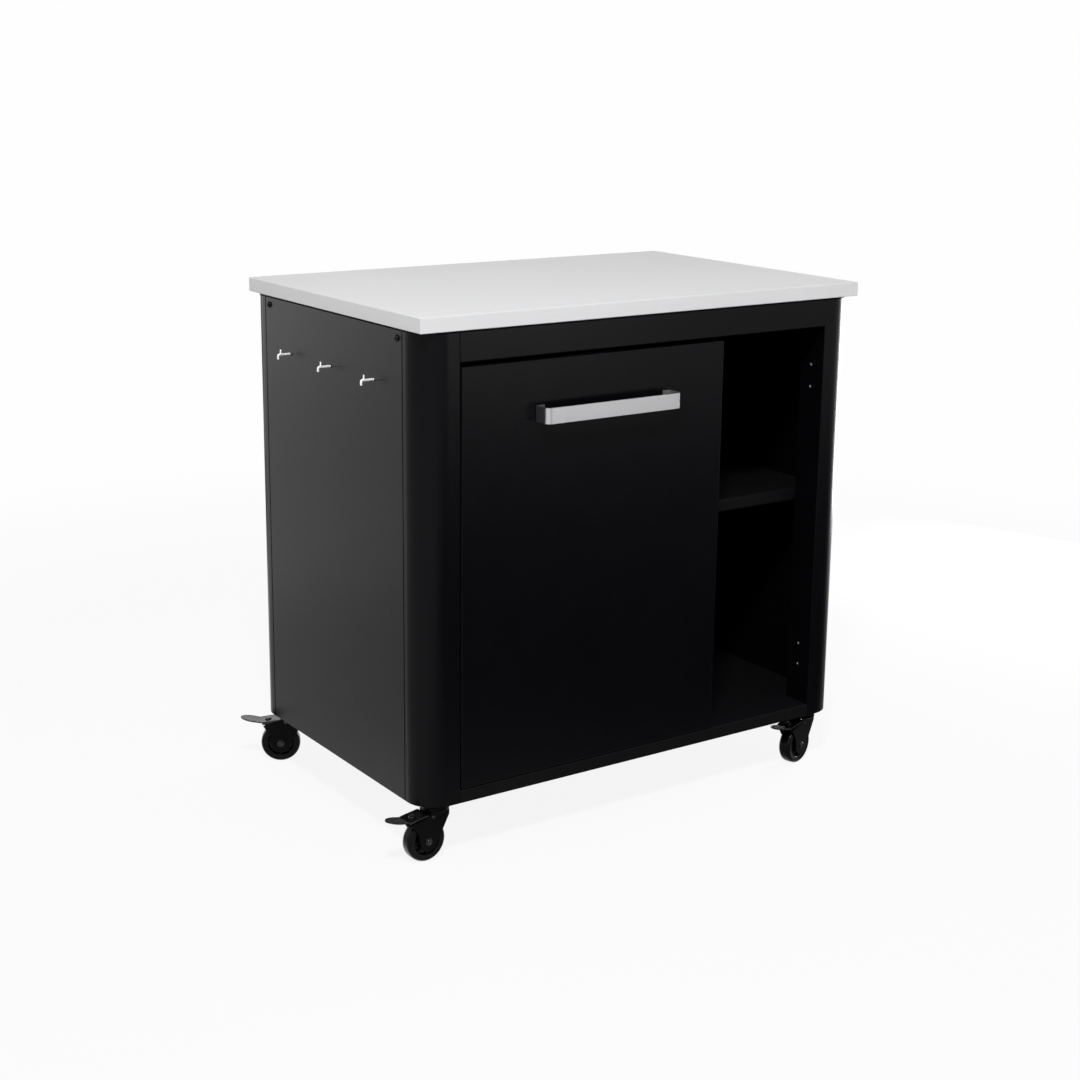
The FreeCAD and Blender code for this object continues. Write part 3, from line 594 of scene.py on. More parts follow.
def arc(middle: tuple[float, float], radius: float, start: float, end: float, steps: int) -> Points:
    """Points on an arc from one angle to another, in degrees."""
    angles = [math.radians(start + (end - start) * index / steps) for index in range(steps + 1)]
    return [(middle[0] + radius * math.cos(angle), middle[1] + radius * math.sin(angle)) for angle in angles]


def axis_place(point: Vector, direction: Vector) -> Matrix:
    """Matrix that puts the Z axis at a point, along a direction."""
    turn = direction.to_track_quat("Z", "Y").to_matrix().to_4x4()
    return Matrix.Translation(point) @ turn


def box_of(node: str) -> tuple[Vector, Vector]:
    """Lowest and highest corners of a node as vectors."""
    low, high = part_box(node)
    return Vector(low), Vector(high)


# Mesh work

def moved(mesh: bmesh.types.BMesh, made: dict[str, Any], step: Vector) -> list[bmesh.types.BMVert]:
    """Move the vertices that an extrusion has made.

    Args:
        mesh: The bmesh that was extruded.
        made: What the extrude operator handed back.
        step: How far the new vertices go.

    Returns:
        The new vertices.
    """
    verts = [item for item in made["geom"] if isinstance(item, bmesh.types.BMVert)]
    bmesh.ops.translate(mesh, verts=verts, vec=step)
    return verts


def round_edges(mesh: bmesh.types.BMesh, edges: list[bmesh.types.BMEdge], radius: float, steps: int) -> None:
    """Round some edges of a mesh."""
    bmesh.ops.bevel(mesh, geom=edges, offset=radius, offset_type="OFFSET", segments=steps, profile=0.5,
                    affect="EDGES", clamp_overlap=False, material=-1)


def edges_where(mesh: bmesh.types.BMesh, test: Callable[[Vector], bool]) -> list[bmesh.types.BMEdge]:
    """Edges whose two ends both pass a test on their place."""
    return [edge for edge in mesh.edges if all(test(vert.co) for vert in edge.verts)]


def block(place: Matrix, size: Vector | tuple[float, float, float]) -> bmesh.types.BMesh:
    """Block round a place.

    Args:
        place: Its middle and its turn.
        size: Its length along each axis.

    Returns:
        A closed bmesh.
    """
    mesh = bmesh.new()
    bmesh.ops.create_cube(mesh, size=1.0, matrix=place @ Matrix.Diagonal((*size, 1.0)))
    return mesh


def flat_plate(outline: Points, place: Callable[[float, float], Vector], step: Vector) -> bmesh.types.BMesh:
    """Plate with a given outline.

    Args:
        outline: Corners in two dimensions.
        place: Turns a corner into a point of the frame.
        step: The plate's thickness as a vector.

    Returns:
        A closed bmesh.
    """
    mesh = bmesh.new()
    verts = [mesh.verts.new(place(u, v)) for u, v in outline]
    face = mesh.faces.new(verts)
    made = bmesh.ops.extrude_face_region(mesh, geom=[face])
    moved(mesh, made, step)
    bmesh.ops.recalc_face_normals(mesh, faces=mesh.faces[:])
    return mesh


def standing_plate(outline: Points, start: float, width: float) -> bmesh.types.BMesh:
    """Plate with its outline in X and Z, which starts at a Y and is so wide along Y."""
    return flat_plate(outline, lambda x, z: Vector((x, start, z)), Vector((0, width, 0)))


def folded_strip(path: list[Vector], span: Vector, bends: dict[int, float], inside: Vector,
                 gauge: float = SHEET) -> bmesh.types.BMesh:
    """Sheet folded along straight lines, with a round bend at each.

    Args:
        path: Outer corners of the section, from one free edge to the other.
        span: Length of the folds as a vector.
        bends: Outer radius at some of the corners.
        inside: A point within the folded section.
        gauge: Thickness of the sheet.

    Returns:
        A closed bmesh of the folded sheet.
    """
    mesh = bmesh.new()
    verts = [mesh.verts.new(point) for point in path]
    edges = [mesh.edges.new(pair) for pair in zip(verts, verts[1:])]
    moved(mesh, bmesh.ops.extrude_edge_only(mesh, edges=edges), span)
    along = span.normalized()
    for corner, radius in bends.items():
        fold = edges_where(mesh, lambda co: (co - path[corner]).cross(along).length < SAME_PLACE)
        round_edges(mesh, fold, radius, FOLD_STEPS if radius < WIDE_FOLD else WIDE_FOLD_STEPS)
    bmesh.ops.recalc_face_normals(mesh, faces=mesh.faces[:])
    first = mesh.faces[:][0]
    if first.normal.dot(first.calc_center_median() - inside) < 0:
        bmesh.ops.reverse_faces(mesh, faces=mesh.faces[:])
    bmesh.ops.solidify(mesh, geom=mesh.faces[:], thickness=gauge)
    return mesh


def folded_tray(low: Vector, high: Vector, lip: float, radius: float) -> bmesh.types.BMesh:
    """Sheet tray, open below, with four walls and an inward return round its open side.

    Args:
        low: Its lowest corner.
        high: Its highest corner.
        lip: Width of the return.
        radius: Outer radius of the folds.

    Returns:
        A closed bmesh of the tray.
    """
    mesh = block(Matrix.Translation((low + high) / 2), high - low)
    mouth = [face for face in mesh.faces if face.normal.z < -LOOKING]
    bmesh.ops.inset_region(mesh, faces=mouth, thickness=lip, use_even_offset=True)
    bmesh.ops.delete(mesh, geom=mouth, context="FACES")
    inner = [edge for edge in mesh.edges if len(edge.link_faces) == 2]
    round_edges(mesh, [edge for edge in inner if edge.calc_face_angle(0.0) > FOLD_ANGLE], radius, FOLD_STEPS)
    bmesh.ops.solidify(mesh, geom=mesh.faces[:], thickness=SHEET)
    return mesh


def spin_profile(mesh: bmesh.types.BMesh, profile: Points, steps: int) -> None:
    """Turn a profile round the Z axis.

    Args:
        mesh: The empty bmesh that takes the shape.
        profile: Radius and distance along the axis, from one end of the axis to the other.
        steps: Number of facets round the axis.
    """
    verts = [mesh.verts.new((radius, 0.0, distance)) for radius, distance in profile]
    edges = [mesh.edges.new(pair) for pair in zip(verts, verts[1:])]
    bmesh.ops.spin(mesh, geom=verts + edges, cent=(0, 0, 0), axis=(0, 0, 1), angle=2 * math.pi, steps=steps,
                   use_merge=True, use_duplicate=False)
    bmesh.ops.remove_doubles(mesh, verts=mesh.verts[:], dist=SAME_TURNED)


def turned(profile: Points, place: Matrix, steps: int) -> bmesh.types.BMesh:
    """Solid turned from a profile.

    Args:
        profile: Radius and distance along the axis, from one end of the axis to the other.
        place: Puts the axis, which is drawn along Z, into the frame.
        steps: Number of facets round the axis.

    Returns:
        A closed bmesh.
    """
    mesh = bmesh.new()
    spin_profile(mesh, profile, steps)
    bmesh.ops.recalc_face_normals(mesh, faces=mesh.faces[:])
    bmesh.ops.transform(mesh, matrix=place, verts=mesh.verts[:])
    return mesh


def joined(meshes: list[bmesh.types.BMesh]) -> bmesh.types.BMesh:
    """Put several shapes into one bmesh.

    Args:
        meshes: The shapes, which are used up.

    Returns:
        One bmesh with all of them.
    """
    whole = meshes[0]
    for part in meshes[1:]:
        carrier = bpy.data.meshes.new("carrier")
        part.to_mesh(carrier)
        part.free()
        whole.from_mesh(carrier)
        bpy.data.meshes.remove(carrier)
    return whole


def piece_from(mesh: bmesh.types.BMesh, name: str, finish: Finish, body: str,
               edge_round: float = 0.0) -> bpy.types.Object:
    """Turn a finished bmesh into a piece of the cart.

    Args:
        mesh: The shape, in metres, where it belongs in the frame.
        name: The piece's name.
        finish: Its finish.
        body: The body that it rides on.
        edge_round: Radius of a small round on every sharp edge, in metres.

    Returns:
        The new object.
    """
    bmesh.ops.remove_doubles(mesh, verts=mesh.verts[:], dist=SAME_PLACE)
    bmesh.ops.recalc_face_normals(mesh, faces=mesh.faces[:])
    data = bpy.data.meshes.new(name)
    mesh.to_mesh(data)
    mesh.free()
    data.polygons.foreach_set("use_smooth", [True] * len(data.polygons))
    data.set_sharp_from_angle(angle=SHARP_ANGLE)
    piece = bpy.data.objects.new(name, data)
    bpy.context.scene.collection.objects.link(piece)
    if edge_round > 0.0:
        rounding = piece.modifiers.new("edge_round", "BEVEL")
        rounding.width = edge_round
        rounding.segments = 2
        rounding.limit_method = "ANGLE"
        rounding.angle_limit = ROUND_ANGLE
        rounding.harden_normals = False
    weighting = piece.modifiers.new("flat_faces_first", "WEIGHTED_NORMAL")
    weighting.keep_sharp = True
    data.materials.append(finish.material())
    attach(piece, body)
    LOG.info("made %s", name)
    return piece


def dress(frame: dict[str, Any], node: str, finish: Finish) -> None:
    """Give a node that stays as it is its finish.

    Args:
        frame: The frame that holds the node.
        node: The node's name.
        finish: Its finish.
    """
    item = frame["nodes"][node]
    item.data.materials.clear()
    item.data.materials.append(finish.material())
    LOG.info("dressed %s", node)


# Screws

class Head(Enum):
    """Shapes of a screw's head: half its section from the seat up, in parts of its radius and its height."""
    PAN = ((0.0, 0.0), (0.97, 0.0), (1.0, 0.12), (1.0, 0.35), (0.93, 0.68), (0.74, 0.92), (0.6, 1.0),
           (0.42, 1.0))
    DOME = ((0.0, 0.0), (0.96, 0.0), (1.0, 0.05), (1.0, 0.15), (0.96, 0.37), (0.87, 0.58), (0.73, 0.77),
            (0.56, 0.91), (0.36, 0.99), (0.3, 1.0))


@dataclass(frozen=True)
class Screw:
    """A kind of screw. Its hexagon socket is given in parts of the head's opening and of its height."""
    head: Head
    radius: float
    height: float
    socket_width: float = 0.9
    socket_depth: float = 0.55
    steps: int = 24

    def driven(self, point: Vector, out: Vector) -> bmesh.types.BMesh:
        """Make the screw's head where it sits.

        Args:
            point: Where the head's seat is.
            out: Direction out of the surface.

        Returns:
            A closed bmesh of the head.
        """
        mesh = bmesh.new()
        profile = [(across * self.radius, up * self.height) for across, up in self.head.value]
        spin_profile(mesh, profile, self.steps)
        rim = [edge for edge in mesh.edges if edge.is_boundary]
        opening = self.socket_width * self.head.value[-1][0] * self.radius
        hexagon = bmesh.ops.create_circle(mesh, cap_ends=False, radius=opening, segments=6,
                                          matrix=Matrix.Translation((0, 0, self.height)))
        inner = [edge for edge in mesh.edges if all(vert in hexagon["verts"] for vert in edge.verts)]
        bmesh.ops.bridge_loops(mesh, edges=rim + inner)
        drop = bmesh.ops.extrude_edge_only(mesh, edges=inner)
        floor_verts = moved(mesh, drop, Vector((0, 0, -self.socket_depth * self.height)))
        bmesh.ops.contextual_create(mesh, geom=floor_verts)
        bmesh.ops.recalc_face_normals(mesh, faces=mesh.faces[:])
        bmesh.ops.transform(mesh, matrix=axis_place(point, out), verts=mesh.verts[:])
        return mesh


# Sub-assemblies

@dataclass
class Worktop:
    """Folded worktop with its stiffening channels, and a black strip under it that paints the shadow line
    between the top and the cabinet.
    """
    frame: dict[str, Any]
    lip: float = 15 * MM
    radius: float = 1.6 * MM
    # Black strip that paints the shadow line under the top: how far it stands out, its height, its gap below
    # the top and its width
    shadow_strip_proud: float = 1.1 * MM
    shadow_strip_height: float = 2.8 * MM
    shadow_strip_gap: float = 0.02 * MM
    shadow_strip_width: float = 4 * MM
    corner_radius: float = 50 * MM
    corner_steps: int = 24

    def shadow_strip(self) -> None:
        """Make the thin black strip that paints the shadow line in the gap between the top and the cabinet.
        """
        top, _ = box_of("worktop")
        left, _ = box_of("column_front_left")
        _, right = box_of("column_rear_right")
        margin = Vector((self.shadow_strip_proud, self.shadow_strip_proud, 0))
        first = left - margin
        last = right + margin
        outline = [(first.x, first.y), (last.x, first.y), (last.x, last.y), (first.x, last.y)]
        mesh = flat_plate(outline, lambda x, y: Vector((x, y, top.z - self.shadow_strip_height)),
                          Vector((0, 0, self.shadow_strip_height - self.shadow_strip_gap)))
        half = self.shadow_strip_height / 2
        posts = [edge for edge in mesh.edges if abs(edge.verts[0].co.z - edge.verts[1].co.z) > half]
        round_edges(mesh, posts, self.corner_radius + self.shadow_strip_proud, self.corner_steps)
        ends = [face for face in mesh.faces if abs(face.normal.z) > LOOKING]
        bmesh.ops.inset_region(mesh, faces=ends, thickness=self.shadow_strip_width, use_even_offset=True)
        holes = [face for face in mesh.faces if abs(face.normal.z) > LOOKING and len(face.edges) > 4]
        rims = [edge for face in holes for edge in face.edges]
        bmesh.ops.delete(mesh, geom=holes, context="FACES_ONLY")
        bmesh.ops.bridge_loops(mesh, edges=rims)
        piece_from(mesh, "worktop_shadow_strip", SHADOW_STRIP_BLACK, "cabinet")

    def build(self) -> None:
        """Make the top and the black strip that paints its shadow line, and dress the channels under it."""
        self.shadow_strip()
        low, high = box_of("worktop")
        tray = folded_tray(low, high, self.lip, self.radius)
        top = piece_from(tray, "worktop_sheet", WORKTOP_COAT, "cabinet")
        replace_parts(top, "worktop")
        dress(self.frame, "worktop_channels", SLIDE_ZINC)


@dataclass
class Column:
    """One corner column, with its bright screws, each on a black washer."""
    corner: str
    depth_on_side: float = 57 * MM
    big_radius: float = 50 * MM
    small_radius: float = 2 * MM
    screw: Screw = Screw(Head.PAN, 2.9 * MM, 1.9 * MM)
    screw_heights: tuple[float, ...] = (193 * MM, 232.5 * MM, 713.5 * MM, 753 * MM)
    screw_inset: float = 31.5 * MM
    washer_radius: float = 5.2 * MM
    washer: float = 0.8 * MM
    washer_edge: float = 0.6
    washer_slope: float = 0.4
    bracket_top: float = 300 * MM
    bracket_sheet: float = 2 * MM

    def build(self) -> None:
        """Make the folded column and its screws."""
        low, high = box_of("column_" + self.corner)
        right = self.corner.endswith("right")
        front = self.corner.startswith("front")
        side_x = high.x if right else low.x
        inner_x = low.x if right else high.x
        face_y = low.y if front else high.y
        back_y = high.y if front else low.y
        inward = 1.0 if front else -1.0
        free_y = face_y + inward * self.depth_on_side
        section = ((side_x, free_y), (side_x, face_y), (inner_x, face_y), (inner_x, back_y), (side_x, back_y))
        path = [Vector((x, y, low.z)) for x, y in section]
        bends = {1: self.big_radius, 2: self.small_radius, 3: self.small_radius}
        mesh = folded_strip(path, Vector((0, 0, high.z - low.z)), bends, (low + high) / 2)
        piece = piece_from(mesh, "column_sheet_" + self.corner, CABINET_COAT, "cabinet")
        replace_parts(piece, "column_" + self.corner)
        out = Vector((-1, 0, 0)) if right else Vector((1, 0, 0))
        self.screws(out, inner_x, face_y + inward * self.screw_inset)

    def screws(self, out: Vector, face_x: float, y: float) -> None:
        """Put the screws on the column's inner face.

        Args:
            out: Direction in which the face looks.
            face_x: Where the face is.
            y: Where the screws' line is.
        """
        heads = []
        washers = []
        wide = self.washer_radius
        section = [(0.0, 0.0), (wide, 0.0), (wide, self.washer_edge * self.washer),
                   (wide - self.washer_slope * self.washer, self.washer), (0.0, self.washer)]
        for height in self.screw_heights:
            on_bracket = self.corner.endswith("left") and height < self.bracket_top
            point = Vector((face_x, y, height)) + out * (self.bracket_sheet if on_bracket else 0.0)
            washers.append(turned(section, axis_place(point, out), steps=32))
            heads.append(self.screw.driven(point + out * self.washer, out))
        piece_from(joined(washers), "column_washers_" + self.corner, SCREW_BLACK, "cabinet")
        piece_from(joined(heads), "column_screws_" + self.corner, SCREW_ZINC, "cabinet")


@dataclass
class CabinetShell:
    """Sheets between the columns: rail, floor, divider, sides, back, shelf and their brackets."""
    frame: dict[str, Any]
    radius: float = 2 * MM
    sheet_return: float = 10 * MM
    side_screw_z: float = 859 * MM
    side_screw_inset: float = 15.5 * MM
    left_screw: Screw = Screw(Head.DOME, 5.6 * MM, 4.2 * MM)
    right_screw: Screw = Screw(Head.DOME, 5.6 * MM, 2.9 * MM)
    back_screw: Screw = Screw(Head.PAN, 4.2 * MM, 1.8 * MM)
    back_screw_heights: tuple[float, ...] = (170 * MM, 400 * MM, 625 * MM, 850 * MM)
    back_screw_inset: float = 12 * MM

    def rail(self) -> None:
        """Make the channel-shaped top rail."""
        low, high = box_of("front_rail")
        section = ((high.y, high.z), (low.y, high.z), (low.y, low.z), (high.y, low.z))
        path = [Vector((low.x, y, z)) for y, z in section]
        bends = {1: self.radius, 2: self.radius}
        mesh = folded_strip(path, Vector((high.x - low.x, 0, 0)), bends, (low + high) / 2)
        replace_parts(piece_from(mesh, "front_rail_sheet", CABINET_COAT, "cabinet"), "front_rail")

    def floor(self) -> None:
        """Make the floor with its notched corners and the folded lip all round."""
        low, high = box_of("floor_panel")
        column_low, column_high = box_of("column_front_right")
        rear_low, _ = box_of("column_rear_right")
        x_in = column_low.x
        mirror = low.x + high.x
        right = [(x_in, low.y), (x_in, column_high.y), (high.x, column_high.y), (high.x, rear_low.y),
                 (x_in, rear_low.y), (x_in, high.y)]
        left = [(mirror - x, y) for x, y in reversed(right)]
        mesh = flat_plate(right + left, lambda x, y: Vector((x, y, high.z)), Vector((0, 0, low.z - high.z)))
        mouth = [face for face in mesh.faces if face.normal.z < -LOOKING]
        bmesh.ops.inset_region(mesh, faces=mouth, thickness=self.sheet_return, use_even_offset=True)
        bmesh.ops.delete(mesh, geom=mouth, context="FACES")
        rim = edges_where(mesh, lambda co: abs(co.z - high.z) < SAME_PLACE)
        round_edges(mesh, rim, self.radius, FOLD_STEPS)
        bmesh.ops.solidify(mesh, geom=mesh.faces[:], thickness=SHEET)
        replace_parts(piece_from(mesh, "floor_sheet", INSIDE_COAT, "cabinet"), "floor_panel")

    def shelf(self) -> None:
        """Make the shelf of the open compartment."""
        low, high = box_of("shelf")
        mesh = folded_tray(low, high, self.sheet_return, self.radius)
        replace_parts(piece_from(mesh, "shelf_sheet", INSIDE_COAT, "cabinet"), "shelf")

    def side_screws(self) -> None:
        """Make the black domed screws near the top corners of both sides."""
        low, high = box_of("side_panel_left")
        _, far = box_of("side_panel_right")
        heads = []
        for face_x, out, screw in ((low.x, Vector((-1, 0, 0)), self.left_screw),
                                   (far.x, Vector((1, 0, 0)), self.right_screw)):
            for y in (low.y + self.side_screw_inset, high.y - self.side_screw_inset):
                heads.append(screw.driven(Vector((face_x, y, self.side_screw_z)), out))
        piece_from(joined(heads), "side_panel_screws", SCREW_BLACK, "cabinet")

    def back_screws(self) -> None:
        """Make the flat screws that hold the back panel to its folds."""
        low, high = box_of("back_panel")
        heads = []
        for x in (low.x + self.back_screw_inset, high.x - self.back_screw_inset):
            for height in self.back_screw_heights:
                heads.append(self.back_screw.driven(Vector((x, high.y, height)), Vector((0, 1, 0))))
        piece_from(joined(heads), "back_panel_screws", SCREW_BLACK, "cabinet")

    def build(self) -> None:
        """Make the folded sheets and dress the flat ones."""
        self.rail()
        self.floor()
        self.shelf()
        self.side_screws()
        self.back_screws()
        for node in ("side_panel_left", "side_panel_right"):
            dress(self.frame, node, CABINET_COAT)
        for node in ("back_panel", "divider_panel", "foot_plates"):
            dress(self.frame, node, INSIDE_COAT)
        for node in ("shelf_brackets", "slide_brackets"):
            dress(self.frame, node, SLIDE_ZINC)


@dataclass
class ToolPegs:
    """Three chrome pegs on the left side. Each has its tip bent down and an upright stop."""
    spacing: float = 145 * MM
    shaft: float = 2.0 * MM
    bend: float = 2.2 * MM
    bend_step: int = 15
    tip_drop: float = 8.5 * MM
    stop: float = 1.3 * MM
    stop_inset: float = 18.3 * MM
    stop_rise: float = 9.0 * MM
    collar: float = 3.4 * MM
    collar_edge: float = 0.4 * MM
    collar_height: float = 0.7 * MM

    def rod(self, foot: Vector, reach: float) -> bmesh.types.BMesh:
        """Bend the peg's rod.

        Args:
            foot: Where its axis leaves the panel.
            reach: How far it stands out.

        Returns:
            A closed bmesh, rounded at its tip.
        """
        mesh = bmesh.new()
        run = reach - self.shaft - self.bend
        elbow = foot + Vector((-run, 0, -self.bend))
        tip = elbow + Vector((-self.bend, 0, self.bend + self.shaft - self.tip_drop))
        stations = [(foot, 0.0, self.shaft)]
        for angle in range(0, 91, self.bend_step):
            turn = math.radians(angle)
            out = Vector((-math.sin(turn), 0, math.cos(turn)))
            stations.append((elbow + self.bend * out, turn, self.shaft))
        for angle in range(0, 76, self.bend_step):
            lean = math.radians(angle)
            drop = Vector((0, 0, -self.shaft * math.sin(lean)))
            stations.append((tip + drop, math.pi / 2, self.shaft * math.cos(lean)))
        rings = []
        for spot, turn, radius in stations:
            place = Matrix.Translation(spot) @ Matrix.Rotation(-math.pi / 2 - turn, 4, "Y")
            made = bmesh.ops.create_circle(mesh, cap_ends=False, segments=24, radius=radius, matrix=place)
            rings.append([edge for edge in mesh.edges if all(vert in made["verts"] for vert in edge.verts)])
        for first, second in zip(rings, rings[1:]):
            bmesh.ops.bridge_loops(mesh, edges=first + second)
        for ring in (rings[0], rings[-1]):
            bmesh.ops.edgeloop_fill(mesh, edges=ring)
        return mesh

    def build(self) -> None:
        """Make the three pegs."""
        low, high = box_of("tool_pegs")
        reach = high.x - low.x
        axis_z = high.z - self.stop_rise
        stop = [(0.0, 0.0), (2.0 * self.stop, 0.9 * self.shaft), (1.3 * self.stop, 1.3 * self.shaft),
                (self.stop, 1.7 * self.shaft), (self.stop, self.stop_rise - 0.9 * self.stop)]
        stop += arc((0.0, self.stop_rise - self.stop), self.stop, start=20, end=90, steps=4)
        collar = [(0.0, 0.0), (self.collar, 0.0), (self.collar, self.collar_edge),
                  (0.85 * self.collar, self.collar_height), (0.0, self.collar_height)]
        pegs = []
        rings = []
        for index, name in enumerate(("front", "middle", "rear")):
            foot = Vector((high.x, (low.y + high.y) / 2 + (index - 1) * self.spacing, axis_z))
            upright = Matrix.Translation(foot + Vector((-self.stop_inset, 0, 0)))
            rings.append(turned(collar, axis_place(foot, Vector((-1, 0, 0))), steps=32))
            shapes = [self.rod(foot, reach), turned(stop, upright, steps=20)]
            pegs.append(piece_from(joined(shapes), "tool_peg_" + name, PEG_CHROME, "cabinet"))
        piece_from(joined(rings), "tool_peg_collars", SCREW_BLACK, "cabinet")
        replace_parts(pegs[0], "tool_pegs")


@dataclass
class PullOut:
    """The pull-out: double front, bar handle, tray with gussets, and slides."""
    frame: dict[str, Any]
    radius: float = 2 * MM
    radius_steps: int = 6
    bar: float = 2.5 * MM
    bar_bend: float = 10 * MM
    bar_round: float = 0.45 * MM
    tab: float = 16 * MM
    screw: Screw = Screw(Head.DOME, 3.6 * MM, 2 * MM)
    screw_place: float = 0.6

    def front(self) -> None:
        """Make the outer skin as a pan with round edges."""
        low, high = box_of("pull_out_front")
        mesh = block(Matrix.Translation((low + high) / 2), high - low)
        back = [face for face in mesh.faces if face.normal.y > LOOKING]
        bmesh.ops.delete(mesh, geom=back, context="FACES_ONLY")
        folds = [edge for edge in mesh.edges if not edge.is_boundary]
        round_edges(mesh, folds, self.radius, self.radius_steps)
        bmesh.ops.solidify(mesh, geom=mesh.faces[:], thickness=SHEET)
        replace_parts(piece_from(mesh, "pull_out_skin", CABINET_COAT, "pull_out"), "pull_out_front")

    def handle(self) -> None:
        """Bend the flat bar of the handle and drive its two screws."""
        low, high = box_of("handle")
        section = ((low.x + self.tab, high.y), (low.x, high.y), (low.x, low.y), (high.x, low.y),
                   (high.x, high.y), (high.x - self.tab, high.y))
        path = [Vector((x, y, low.z)) for x, y in section]
        bends = {1: self.bar, 2: self.bar_bend, 3: self.bar_bend, 4: self.bar}
        mesh = folded_strip(path, Vector((0, 0, high.z - low.z)), bends, (low + high) / 2, self.bar)
        piece = piece_from(mesh, "bar_handle", HANDLE_STEEL, "pull_out", edge_round=self.bar_round)
        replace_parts(piece, "handle")
        middle_z = (low.z + high.z) / 2
        heads = []
        for x in (low.x + self.screw_place * self.tab, high.x - self.screw_place * self.tab):
            heads.append(self.screw.driven(Vector((x, high.y - self.bar, middle_z)), Vector((0, -1, 0))))
        piece_from(joined(heads), "handle_screws", SCREW_BLACK, "pull_out")

    def build(self) -> None:
        """Make the front and the handle and dress the rest."""
        self.front()
        self.handle()
        for node in ("pull_out_liner", "pull_out_tray", "tray_gussets"):
            dress(self.frame, node, INSIDE_COAT)
        for part in ("outer", "middle", "inner"):
            for side in ("left", "right"):
                dress(self.frame, "slide_" + part + "_" + side, SLIDE_ZINC)


